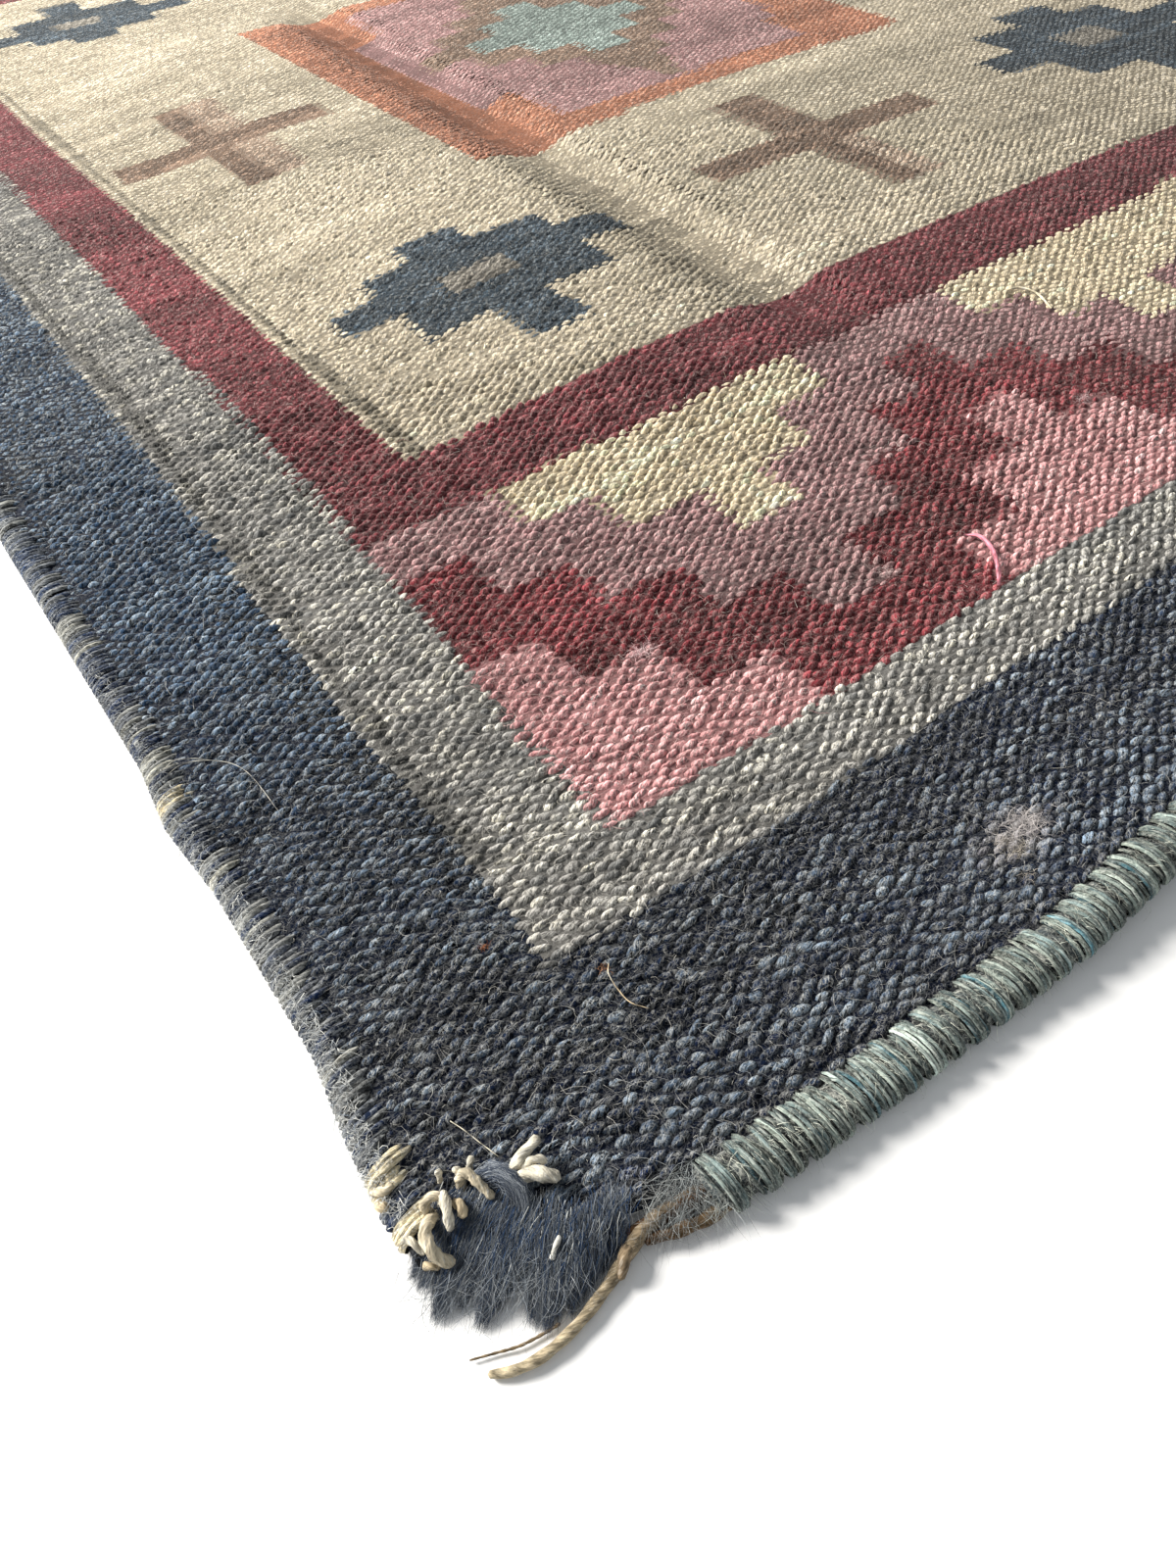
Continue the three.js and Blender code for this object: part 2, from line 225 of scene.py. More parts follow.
def lift_at(x, y):
    """How high the underside lies: one broad buckle that rises across x from 130 and falls
    from 430, runs along y from 185 to 800, is creased down to the floor along one line,
    and has the five local swells added."""
    across = plateau(x, *BUCKLE_ACROSS)
    along = plateau(y, *BUCKLE_ALONG)
    crease = bump((x - CREASE_AT - CREASE_DRIFT * y) / CREASE_HALF)
    lift = BUCKLE_HIGH * across * along * (1 - crease)
    for at_x, at_y, wide, long, high in SWELLS:
        lift = lift + high * bump((x - at_x) / wide) * bump((y - at_y) / long)
    return lift


def in_metres(x, y, z):
    """Weaver's millimetres to the frame's metres, with the origin under the middle."""
    places = np.stack(np.broadcast_arrays(x - RUG_WIDE / 2, y - RUG_LONG / 2, z), axis=-1)
    return places * MM


print("highest lift", round(float(lift_at(*np.meshgrid(np.arange(850), np.arange(1210))).max()), 1), "mm")

# %% [markdown]
# ## Turning arrays into pieces
# Each piece is worked out as whole arrays: points, faces, a dye colour for each point
# and its place along and across its own yarn. One helper puts them into a mesh, hangs it
# under the rug's root and hides the imported part that it stands for.

# %% One helper for every mesh
def face_rows(faces, count, stride):
    """Copies one shape's faces for count shapes whose points follow each other."""
    shifted = faces[None] + stride * np.arange(count)[:, None, None]
    return shifted.reshape(-1, faces.shape[1])


def piece(name, points, faces, tint, yarn, finish, stands_for, per_corner=False):
    """Builds a mesh from points in metres and a list of face arrays. yarn is millimetres
    along and across the yarn and a seed, for each point. tint is the dye colour with the
    share of pale fibres as its fourth number, for each point too, or for each face when
    per_corner is set."""
    mesh = bpy.data.meshes.new(name)
    corners = np.concatenate([part.ravel() for part in faces]).astype(np.int32)
    sizes = np.concatenate([np.full(len(part), part.shape[1]) for part in faces])
    starts = np.concatenate([[0], np.cumsum(sizes)[:-1]]).astype(np.int32)
    mesh.vertices.add(len(points))
    mesh.vertices.foreach_set("co", points.astype(np.float32).ravel())
    mesh.loops.add(len(corners))
    mesh.loops.foreach_set("vertex_index", corners)
    mesh.polygons.add(len(sizes))
    mesh.polygons.foreach_set("loop_start", starts)
    mesh.polygons.foreach_set("use_smooth", np.ones(len(sizes), bool))
    mesh.update(calc_edges=True)
    where = "CORNER" if per_corner else "POINT"
    if per_corner:
        tint = np.repeat(tint, sizes, axis=0)
    colours = mesh.color_attributes.new("tint", "FLOAT_COLOR", where)
    colours.data.foreach_set("color", tint.astype(np.float32).ravel())
    lay = mesh.attributes.new("yarn", "FLOAT_VECTOR", "POINT")
    lay.data.foreach_set("vector", yarn.astype(np.float32).ravel())
    mesh.validate()
    mesh.materials.append(finish)
    thing = bpy.data.objects.new(name, mesh)
    scene.collection.objects.link(thing)
    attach(thing, "root")
    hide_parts(stands_for)
    triangles = int((sizes - 2).sum())
    print(name, triangles, "triangles")
    return thing


# %% A surface carried on a grid
def grid_faces(rows, columns, wrap=False):
    """Four-cornered faces of a grid of rows by columns points, wound to face outwards when
    columns run to the left of rows. With wrap the last column joins the first."""
    across = columns if wrap else columns - 1
    r, c = np.meshgrid(np.arange(rows - 1), np.arange(across), indexing="ij")
    here = r * columns + c
    beside = r * columns + (c + 1) % columns
    return np.stack([here, here + columns, beside + columns, beside], -1).reshape(-1, 4)


# %% [markdown]
# ## Shader arithmetic
# Wool's colour is a sum on the shader's numbers, so one small class lets them be
# added and multiplied in Python, and one method adds any other node.

# %% Shader numbers and finishes
class Amount:
    """A shader number. Arithmetic on it adds a Math node to its finish."""

    def __init__(self, finish, socket):
        self.finish = finish
        self.socket = socket

    def math(self, operation, *values, clamp=False):
        settings = {"operation": operation, "use_clamp": clamp}
        node = self.finish.node("ShaderNodeMath", settings, dict(enumerate(values)))
        return Amount(self.finish, node.outputs[0])

    def __add__(self, other):
        return self.math("ADD", self, other)

    def __sub__(self, other):
        return self.math("SUBTRACT", self, other)

    def __rsub__(self, other):
        return self.math("SUBTRACT", other, self)

    def __mul__(self, other):
        return self.math("MULTIPLY", self, other)

    __radd__ = __add__
    __rmul__ = __mul__

    def held(self):
        """The number held between 0 and 1."""
        return self.math("ADD", self, 0.0, clamp=True)

    def close_to(self, level, sharp):
        """1 where the number is the level, falling evenly to 0 at 1 / sharp from it."""
        off = self - level
        return (1.0 - self.math("ABSOLUTE", off) * sharp).held()


class Finish:
    """A material made node by node."""

    def __init__(self, name):
        self.material = bpy.data.materials.new(name)
        self.material.use_nodes = True
        self.tree = self.material.node_tree
        self.tree.nodes.clear()

    def node(self, kind, settings=None, sockets=None):
        """Adds a node, sets its settings first, then its sockets' values or links."""
        node = self.tree.nodes.new(kind)
        for key, value in (settings or {}).items():
            setattr(node, key, value)
        for key, value in (sockets or {}).items():
            value = getattr(value, "socket", value)
            if isinstance(value, bpy.types.NodeSocket):
                self.tree.links.new(value, node.inputs[key])
            else:
                node.inputs[key].default_value = value
        return node

    def amount(self, node, output=0):
        """One of a node's outputs as a number."""
        return Amount(self, node.outputs[output])

    def noise(self, place, scale, detail, rough, distortion=0.0):
        """Cloudy noise between 0 and 1, read at a place."""
        return self.amount(self.node("ShaderNodeTexNoise", {"noise_dimensions": "3D"}, {
            "Vector": place, "Scale": scale, "Detail": detail, "Roughness": rough,
            "Distortion": distortion}))

    def blend(self, share, first, second):
        """A colour mix: share of the second over the first."""
        node = self.node("ShaderNodeMix", {"data_type": "RGBA"}, {0: share, 6: first, 7: second})
        return node.outputs[2]

    def dimmed(self, colour, share):
        """A colour scaled by a number."""
        node = self.node("ShaderNodeVectorMath", {"operation": "SCALE"}, {0: colour, 3: share})
        return node.outputs[0]


# %% [markdown]
# ## Wool and cotton
# Hand-spun wool is heathered: in each yarn, dark dyed fibres lie beside pale undyed
# ones, and all of them run round the yarn at the angle of its twist. So the finish
# reads how far along and across its own yarn each point lies, stretches a noise along
# the twist for the fibres, lays pale hairs over that, and darkens the foot of each
# stitch where light seldom gets in.

# %% Wool finish
# how much of a finish's pale colour a hair adds to the dye, and the palest that it gets
HAIR_ADDS = 0.62
HAIR_PALEST = (0.84, 0.83, 0.8)
# scale, sharpness and strength of the two fields whose lines are the fuzz
FUZZ_FIELDS = ((520.0, 22.0, 1.0), (900.0, 15.0, 0.8))
# levels of a fuzz field that are drawn as stray hairs and as the hairs' painted shadows
FUZZ_HAIR = 0.5
FUZZ_SHADOW = 0.44
RIPPLE_DEEP = 0.0007


def fibre_finish(name, stretch, fine, twist, foot, relief, pale, sheen, contrast=1.0, fuzz=0.0):
    """Fibre noise is read at (along / stretch, across * fine - along * twist, seed). The
    dye is multiplied by 1 plus the noise's distance from its middle times a swing, which
    is 0.4 plus 2.2 times the yarn's share of pale fibres. Hairs of the dye plus pale are
    laid where a finer noise is high. Fuzz lays stray hairs, and their painted shadows as
    dark lines, where two other noises come near fixed levels. The colour falls by foot
    towards a stitch's ends and sides, as painted shade."""
    finish = Finish(name)
    dye = finish.node("ShaderNodeAttribute", {"attribute_name": "tint"})
    lay = finish.node("ShaderNodeAttribute", {"attribute_name": "yarn"})
    parts = finish.node("ShaderNodeSeparateXYZ", None, {0: lay.outputs["Vector"]})
    along, across, seed = (finish.amount(parts, number) for number in range(3))
    length = along * (1 / stretch) + seed * 17.3
    side = across * fine - along * twist
    place = finish.node("ShaderNodeCombineXYZ", None, {0: length, 1: side, 2: seed * 41.0})
    coarse = finish.noise(place.outputs[0], 1.0, 3.0, 0.66)
    hair_place = finish.node("ShaderNodeCombineXYZ", None, {
        0: length * 1.5, 1: side * 2.0, 2: seed * 23.0 + 5.0})
    hairs = finish.noise(hair_place.outputs[0], 1.0, 2.0, 0.5)
    share = finish.amount(dye, "Alpha")
    shade = ((coarse - 0.5) * (5.0 * contrast) + 0.5).held()
    swing = share * 2.2 + 0.4
    body = finish.dimmed(dye.outputs["Color"], (shade - 0.52) * swing + 1.0)
    lit = ((hairs - 0.62 + share * 0.07) * 18.0).held()
    lighter = finish.node("ShaderNodeVectorMath", {"operation": "ADD"}, {
        0: dye.outputs["Color"], 1: tuple(HAIR_ADDS * part for part in pale)})
    hair = finish.node("ShaderNodeVectorMath", {"operation": "MINIMUM"}, {
        0: lighter.outputs[0], 1: HAIR_PALEST}).outputs[0]
    mixed = finish.blend(lit * (share * 0.8 + 0.15), body, hair)
    if fuzz:
        spot = finish.node("ShaderNodeTexCoord").outputs["Object"]
        for scale, sharp, strength in FUZZ_FIELDS:
            field = finish.noise(spot, scale, 1.0, 0.45, 0.7)
            line = field.close_to(FUZZ_HAIR, sharp)
            # painted shadows of the stray hairs, as dark lines
            dark = field.close_to(FUZZ_SHADOW, sharp)
            hair_shadow = dark * (share * 1.4 + 0.2) * (fuzz * 0.8 * strength)
            mixed = finish.dimmed(mixed, 1.0 - hair_shadow)
            mixed = finish.blend(line * (share * 0.8 + 0.2) * (fuzz * strength), mixed, hair)
    depth = (along * along * 0.1 + across * across * 0.34).held()
    # painted shade at the foot of each stitch: the colour darkened towards its ends and sides
    worn = finish.dimmed(mixed, 1.0 - depth * foot)
    ripple = finish.node("ShaderNodeBump", None, {
        "Strength": relief, "Distance": RIPPLE_DEEP, "Height": coarse + hairs * 0.5})
    shader = finish.node("ShaderNodeBsdfPrincipled", None, {
        "Base Color": worn, "Roughness": 0.95, "Normal": ripple.outputs[0],
        "Sheen Weight": sheen, "Sheen Roughness": 0.5, "Specular IOR Level": 0.12})
    finish.node("ShaderNodeOutputMaterial", None, {0: shader.outputs[0]})
    return finish.material


WOOL = fibre_finish("wool_weft", stretch=2.2, fine=1.25, twist=0.7, foot=0.8, relief=1.0,
                    pale=(0.74, 0.73, 0.67), sheen=0.06, contrast=1.15, fuzz=0.7)
SIDE_WOOL = fibre_finish("wool_selvedge", stretch=4.0, fine=0.7, twist=0.15, foot=0.0, relief=0.9,
                         pale=(0.66, 0.68, 0.66), sheen=0.1, contrast=1.2, fuzz=0.6)
WOOL_GROUND = fibre_finish("wool_between_stitches", stretch=2.0, fine=1.0, twist=0.0, foot=0.0, relief=0.6,
                           pale=(0.42, 0.42, 0.4), sheen=0.0, contrast=1.0, fuzz=0.7)
OVERCAST = fibre_finish("wool_overcast", stretch=5.0, fine=0.8, twist=0.12, foot=0.0, relief=0.9,
                        pale=(0.7, 0.7, 0.62), sheen=0.12, contrast=1.3, fuzz=0.5)
COTTON = fibre_finish("cotton_warp", stretch=2.4, fine=0.9, twist=0.6, foot=0.3, relief=0.6,
                      pale=(0.5, 0.48, 0.44), sheen=0.05, contrast=0.4)
LOOSE_WOOL = fibre_finish("wool_loose", stretch=6.0, fine=0.9, twist=0.1, foot=0.2, relief=0.6,
                          pale=(0.55, 0.57, 0.6), sheen=0.2)
HAIR = fibre_finish("wool_hair", stretch=6.0, fine=1.0, twist=0.0, foot=0.0, relief=0.0,
                    pale=(0.7, 0.69, 0.64), sheen=0.2)
print("finishes:", ", ".join(m.name for m in bpy.data.materials))

# %% [markdown]
# ## The pattern
# A weaver counts it: everything is a number of warps wide and a number of wefts high.
# The photograph shows one corner and part of the field, and the rest is taken to be the
# same about both middle lines, which is a guess. From the edge in: an indigo border,
# a pale grey one, a panel of stepped triangles at each end, a maroon frame, and a pale
# field with stepped crosses and a framed medallion. Each stitch asks which yarn it is.

# %% Yarns and their dyes
# name: dye as seen (red, green, blue of 255), share of pale fibres
YARNS = (
    ("indigo", (19, 35, 63), 0.5),
    ("grey", (164, 161, 156), 0.42),
    ("maroon", (126, 59, 65), 0.25),
    ("ecru", (214, 200, 174), 0.18),
    ("pink", (216, 154, 154), 0.3),
    ("crimson", (126, 52, 58), 0.25),
    ("mauve", (168, 128, 128), 0.28),
    ("cream", (237, 218, 183), 0.2),
    ("slate", (62, 76, 88), 0.3),
    ("taupe", (144, 119, 101), 0.2),
    ("orange", (200, 134, 104), 0.28),
    ("rose", (186, 143, 141), 0.3),
    ("brown", (151, 125, 107), 0.28),
    ("seafoam", (151, 166, 159), 0.28),
    ("faded", (196, 170, 148), 0.4),
    ("hole", (138, 132, 122), 0.3),
)
YARN = {row[0]: number for number, row in enumerate(YARNS)}


def linear(colour):
    """Seen colour of 255 to the light it sends back: the screen curve undone."""
    c = np.asarray(colour, float) / 255
    return np.where(c <= 0.04045, c / 12.92, ((c + 0.055) / 1.055) ** 2.4)


def toward(dye, colour, share):
    """A dye moved towards a seen colour by a share."""
    return dye + (linear(colour) - dye) * share


def blended(first, second, share):
    """A dye between two seen colours."""
    return toward(linear(first), second, share)


DYES = np.array([linear(row[1]) for row in YARNS])
FLECKS = np.array([row[2] for row in YARNS])
print(len(YARNS), "yarns")

# %% Which yarn lies where
# the measures of the pattern are in UNITs, counted from the nearest side and end
UNIT = 200.0
INDIGO_SIDE, INDIGO_END = 0.25, 0.325
GREY_SIDE, GREY_END = 0.45, 0.44
PANEL_END = 1.107
FRAME_SIDE, FRAME_END = 0.617, 1.284
PANEL_STEP = 0.111
PANEL_COLUMN = 0.1235
PANEL_START = 0.408
PANEL_SLANT = 0.0085
# one half of the stepped panel's repeat, from the middle of a peak to the middle of a
# valley: the yarn of each of the six rows, outermost first
P, C, M, K = (YARN[name] for name in ("pink", "crimson", "mauve", "cream"))
PANEL = np.array([
    (P, P, P, C, C, M),
    (P, P, C, C, M, M),
    (P, C, C, M, M, K),
    (C, C, M, M, K, K),
    (C, M, M, K, K, K),
])
# from x, to x, from y, to y and the yarn of each block of a figure, in UNITs. The near
# ones are repeated at the far end
NEAR_FIGURES = (
    (0.979, 1.119, 1.450, 1.975, "slate"), (0.855, 1.280, 1.595, 1.895, "slate"),
    (0.742, 1.432, 1.715, 1.815, "slate"), (0.968, 1.122, 1.702, 1.788, "hole"),
    (3.035, 3.225, 1.500, 2.135, "slate"), (2.838, 3.355, 1.625, 2.022, "slate"),
    (2.696, 3.520, 1.758, 1.878, "slate"), (2.999, 3.179, 1.785, 1.905, "hole"),
    (1.962, 2.040, 1.460, 2.110, "taupe"), (2.040, 2.116, 1.460, 2.110, "faded"),
    (1.684, 2.394, 1.737, 1.845, "taupe"), (1.964, 2.112, 1.840, 2.110, "taupe"),
)
MIDDLE_FIGURES = (
    (0.889, 0.975, 2.530, 3.180, "taupe"), (0.975, 1.049, 2.530, 3.180, "faded"),
    (0.674, 1.260, 2.795, 2.905, "taupe"),
    (3.201, 3.275, 2.530, 3.180, "faded"), (3.275, 3.361, 2.530, 3.180, "taupe"),
    (2.990, 3.576, 2.795, 2.905, "taupe"),
)
MEDALLION_AT = (2.09, 2.96)


def stepped_panel(x, y):
    """The yarn of the triangle panel: columns fold about every fourth one, so that peaks
    and valleys alternate, and each column's table row gives the yarn at this height."""
    row = np.clip(np.floor((y - GREY_END) / PANEL_STEP).astype(int), 0, 5)
    column = np.floor((x - PANEL_START - PANEL_SLANT * (row - 1)) / PANEL_COLUMN).astype(int)
    folded = np.abs((column + 4) % 8 - 4)
    return PANEL[folded, row]


def woven_yarn(plan_x, plan_y):
    """The yarn's number at a place in plan in millimetres. Borders, panel and frame are
    taken as the same about both middle lines, so both are folded there. The figures of
    the field are laid block by block, as uneven as the photograph shows them, and the
    ones beyond the picture are guesses. All is laid from the field outwards."""
    across = plan_x / UNIT
    along = plan_y / UNIT
    wide, long = RUG_WIDE / UNIT, RUG_LONG / UNIT
    x = np.minimum(across, wide - across)
    y = np.minimum(along, long - along)
    yarn = np.full(x.shape, YARN["ecru"])
    for figures, height in ((NEAR_FIGURES, y), (MIDDLE_FIGURES, along)):
        for from_x, to_x, from_y, to_y, name in figures:
            block = (across > from_x) & (across < to_x) & (height > from_y) & (height < to_y)
            yarn[block] = YARN[name]

    dx, dy = across - MEDALLION_AT[0], np.abs(along - MEDALLION_AT[1])
    lower_edge = dy + 0.04 * np.maximum(dx, -0.5)
    yarn[(np.abs(dx) < 0.735) & (lower_edge < 0.70)] = YARN["orange"]
    yarn[(dx > -0.515) & (dx < 0.56) & (lower_edge < 0.60)] = YARN["rose"]
    corner = (dx < -0.415) & (dy > 0.375)
    corner |= (dx > 0.45) & (dy > 0.39)
    corner |= (dx > 0.53) & (dy > 0.31)
    yarn[corner & (np.abs(dx) < 0.56) & (lower_edge < 0.60)] = YARN["orange"]
    stair = np.floor(dy / 0.111 + 0.5) * 0.115
    off = np.abs(dx)
    yarn[(off < 0.47 - stair) & (dy < 0.44)] = YARN["brown"]
    yarn[(off < 0.30 - stair) & (dy < 0.35)] = YARN["seafoam"]
    stem = (dx > -0.09 + 0.3 * (dy - 0.40)) & (dx < 0.06 - 0.2 * (dy - 0.40))
    yarn[stem & (dy > 0.36) & (dy < 0.585)] = YARN["brown"]

    yarn[(x < FRAME_SIDE) | (y < FRAME_END)] = YARN["maroon"]
    panel = y < PANEL_END
    yarn[panel] = stepped_panel(x, y)[panel]
    bow = GREY_SIDE - 0.035 * np.exp(-((y - 0.55) / 0.35) ** 2)
    yarn[(x < bow) | (y < GREY_END + 0.012 * smooth((x - 0.8) / 1.0))] = YARN["grey"]
    seam = INDIGO_SIDE + 0.028 * smooth((y - 0.5) / 1.5)
    yarn[(x < seam) | (y < INDIGO_END)] = YARN["indigo"]
    return yarn


# %% [markdown]
# ## Setting up the stitches
# Over and under on alternate warps puts the stitches on a lattice whose rows are
# shifted by half a stitch. That alone makes the upright colour joins serrated. Each
# row is one throw of one yarn, so its colour drifts slowly along the row, while whole
# rows differ as the dye lot and the spinning changed.

# %% The lattice of stitches
WARP_PITCH = 2.85
WEFT_PITCH = 1.9

ROWS = int((RUG_LONG - 2) / WEFT_PITCH)
COLUMNS = int((RUG_WIDE - 12) / (2 * WARP_PITCH))
row_number, column_number = np.meshgrid(np.arange(ROWS), np.arange(COLUMNS), indexing="ij")
stitch_column = 7.2 + (2 * column_number + row_number % 2) * WARP_PITCH
stitch_row = 1.6 + row_number * WEFT_PITCH
print(ROWS, "rows of", COLUMNS, "stitches")


def drifting(shape, reach, seed):
    """Random numbers that drift along each row: white noise averaged over reach stitches
    and scaled back to a spread of one."""
    noise = np.random.default_rng(seed).standard_normal((shape[0], shape[1] + reach))
    total = np.cumsum(noise, axis=1)
    return (total[:, reach:] - total[:, :-reach]) / math.sqrt(reach)


def banded(count, reach, seed):
    """Random numbers that drift from row to row in the same way."""
    return drifting((1, count), reach, seed)[0]


def patches(step_row, step_column, seed):
    """Random numbers in soft patches: one for every step_row rows and step_column
    stitches, and an even blend of the four nearest in between."""
    size = (ROWS // step_row + 2, COLUMNS // step_column + 2)
    coarse = np.random.default_rng(seed).standard_normal(size)
    row, down = np.divmod(np.arange(ROWS) / step_row, 1)
    column, across = np.divmod(np.arange(COLUMNS) / step_column, 1)
    row, column = row.astype(int)[:, None], column.astype(int)[None]
    down, across = smooth(down)[:, None], smooth(across)[None]
    upper = coarse[row, column] * (1 - across) + coarse[row, column + 1] * across
    lower = coarse[row + 1, column] * (1 - across) + coarse[row + 1, column + 1] * across
    return upper * (1 - down) + lower * down


# how far to either side the two yarns of a join are asked for, and how far from the ends
# and how near to a side such joins lie
JOIN_BEYOND, JOIN_WITHIN = 6.4, 2.2
JOIN_FROM_END, JOIN_FROM_SIDE = 95, 140


def join_groove_shade(x, y, number):
    """Painted shade for the dark groove that runs beside each upright join, where two
    colours turn back round neighbouring warps: 1 on the stitches next to the join, in grey
    and ecru alone, and 0 elsewhere. They are those whose yarn goes on for JOIN_WITHIN
    towards the rug's side but has changed at JOIN_BEYOND."""
    def aside(by):
        return woven_yarn(np.clip(x + by, 1, RUG_WIDE - 1), y)

    turned_left = (aside(-JOIN_BEYOND) != number) & (aside(-JOIN_WITHIN) == number)
    turned_right = (aside(JOIN_BEYOND) != number) & (aside(JOIN_WITHIN) == number)
    light = (number == YARN["grey"]) | (number == YARN["ecru"])
    joined = np.where(x < RUG_WIDE / 2, turned_left, turned_right) & light
    from_end = np.minimum(y, RUG_LONG - y)
    from_side = np.minimum(x, RUG_WIDE - x)
    return (joined & (from_end > JOIN_FROM_END) & (from_side < JOIN_FROM_SIDE)).astype(float)


# %% [markdown]
# ## Colour from stitch to stitch
# Each stitch starts from its yarn's dye. Its tone drifts along the row, jumps a little
# from stitch to stitch and changes from row to row, as the spinning and the dye lot do.
# Then come the marks that the photograph shows: indigo that is darker at the corner,
# which is painted shade, and bluer along the side, cream and dark grey stitches in the
# pale border, a dark line in the crease, also painted shade, a blue spot and a pale one,
# and a dark groove beside each upright join, painted shade as well.
# The photograph also gets darker up the rug in some yarns, by more than this lamp and
# sky give. That part of its light is laid into the dyes here, so it is not all dye.

# %% The dye of every stitch
stitch_x, stitch_y = plan_at(stitch_column, stitch_row)
yarn_number = woven_yarn(stitch_x, stitch_y)
is_indigo = yarn_number == YARN["indigo"]
is_grey = yarn_number == YARN["grey"]
from_corner = np.hypot(stitch_x, stitch_y)
drift = drifting((ROWS, COLUMNS), 5, 11)
slow = drifting((ROWS, COLUMNS), 24, 12)
speck = np.random.default_rng(13).standard_normal((ROWS, COLUMNS))
lot = (0.5 * banded(ROWS, 3, 14) + 0.6 * banded(ROWS, 14, 15) + 0.35 * banded(ROWS, 1, 16))[:, None]
# how much calmer the tone is in pale yarns, and what mean dye counts as pale
PALE_CALM = 0.65
PALE_FROM = 0.2


def by_chance(drifts, slowly, specks, lots):
    """A sum of the four kinds of chance: along the row, slowly along it, from stitch to
    stitch and from row to row."""
    return drifts * drift + slowly * slow + specks * speck + lots * lot


tone = by_chance(0.11, 0.09, 0.15, 0.17) - 0.03
tone = tone * np.where(DYES[yarn_number].mean(axis=-1) > PALE_FROM, PALE_CALM, 1.0)
tone = tone + 0.07 * patches(12, 5, 17) + 0.05 * patches(4, 2, 18)
# painted shade laid into the dye: how much darker, how far along that has come about, and in which stitches
PAINTED_SHADE = (
    # painted shade: every yarn darker far from the corner
    (0.22, smooth((from_corner - 380) / 180), 1),
    # painted shade: indigo darker towards the worn corner
    (0.45, 1 - smooth(from_corner / 240), is_indigo),
    # painted shade: indigo and grey darker up the rug
    (0.42, smooth((stitch_row - 210) / 200), is_indigo),
    (0.36, smooth((stitch_row - 230) / 160), is_grey),
)
for much, come_about, which in PAINTED_SHADE:
    tone = tone - much * come_about * which
# painted shade: a dark line along the crease, on its side away from the lamp
crease_shade = bump((stitch_x - CREASE_AT + 14 - CREASE_DRIFT * stitch_y) / 26) * smooth((stitch_y - 215) / 80)
tone = tone - 0.4 * crease_shade * smooth((800 - stitch_y) / 90)
# painted shade in the groove beside each upright join
tone = tone - 1.1 * join_groove_shade(stitch_x, stitch_y, yarn_number)

bluer = smooth((stitch_row - 20) / 250) * 0.9
greyed = np.clip(by_chance(0.11, 0.08, 0.15, 0.09) + 0.12, 0, 0.5)
mixed_in = by_chance(0.2, 0.0, 0.22, 0.1)
blue_spot = bump(np.hypot((stitch_x - 39) / 7, (stitch_y - 18.5) / 4))
pale_spot = bump(np.hypot((stitch_x - 154) / 15, (stitch_y - 28) / 9))
# towards which seen colour, and by what share of the way
LEANINGS = (
    ((60, 88, 118), bluer * is_indigo),
    ((114, 129, 141), greyed * is_indigo),
    ((222, 215, 194), np.clip(mixed_in, 0, 0.7) * is_grey),
    ((96, 100, 104), np.clip(-mixed_in, 0, 0.75) * is_grey),
    ((22, 46, 92), blue_spot),
    ((150, 144, 146), pale_spot * 0.8),
)
dye = DYES[yarn_number]
for colour, share in LEANINGS:
    dye = toward(dye, colour, share[..., None])
stitch_dye = np.clip(dye * np.exp(tone)[..., None], 0, 0.95)
stitch_fleck = np.clip(FLECKS[yarn_number] * (1 + 0.25 * drift + 0.15 * speck), 0, 1)
print("mean dye", stitch_dye.mean(axis=(0, 1)).round(3))

# %% [markdown]
# ## The cloth under the stitches
# The imported warps and the wool between stitches are one thick sheet, level with the
# foot of the stitches. It is a closed slab, top and underside joined round the edge,
# and it carries the pattern in coarse cells so that the gaps have the right tone. On
# top the cells' dye is darkened as painted shade between the stitches, more near the
# camera than far off. A weft-faced cloth looks much the same on both faces, so the
# underside has the pattern as well, but no stitches of its own: it lies on the floor and
# is never seen.

# %% The woven ground
GROUND_TOP = 3.3
# painted shade: how much of the dye shows in the gaps between stitches, near the camera and far off
GAP_SHADE_NEAR = 0.28
GAP_SHADE_FAR = 0.42
# how many warps and wefts one cell of the slab spans
CELL = 4


def slab_lines(length, step, edge):
    """Places of the grid lines: even ones of about this step, with two more by each edge."""
    even = np.linspace(edge, length - edge, int(length / step))
    return np.concatenate([[1.2, edge * 0.4], even, [length - edge * 0.4, length - 1.2]])


slab_x = slab_lines(RUG_WIDE, CELL * WARP_PITCH, 6.0)
slab_y = np.linspace(0, RUG_LONG, int(RUG_LONG / (CELL * WEFT_PITCH)))
ground_row, ground_column = np.meshgrid(slab_y, slab_x, indexing="ij")
tucked = 6.0 * smooth((ground_column - 38) / 8)
ground_row = -tucked + (RUG_LONG + tucked + 6.0) * ground_row / RUG_LONG
ground_x, ground_y = plan_at(ground_column, ground_row, follow_wear=True)
ground_lift = lift_at(ground_x, ground_y)
edge_near = np.minimum(ground_column, RUG_WIDE - ground_column)
thinned = 0.9 * (1 - smooth(edge_near / 5))
top = in_metres(ground_x, ground_y, ground_lift + GROUND_TOP - thinned + 0.9 * bump((edge_near - 4) / 5))
under = in_metres(ground_x, ground_y, ground_lift + thinned)
slab_rows, slab_columns = ground_row.shape
slab_count = slab_rows * slab_columns
upper = grid_faces(slab_rows, slab_columns)[:, ::-1]
lower = grid_faces(slab_rows, slab_columns) + slab_count
rim = np.concatenate([
    np.arange(slab_columns),
    np.arange(1, slab_rows) * slab_columns + slab_columns - 1,
    (slab_rows - 1) * slab_columns + np.arange(slab_columns - 2, -1, -1),
    np.arange(slab_rows - 2, 0, -1) * slab_columns,
])
rim_next = np.roll(rim, -1)
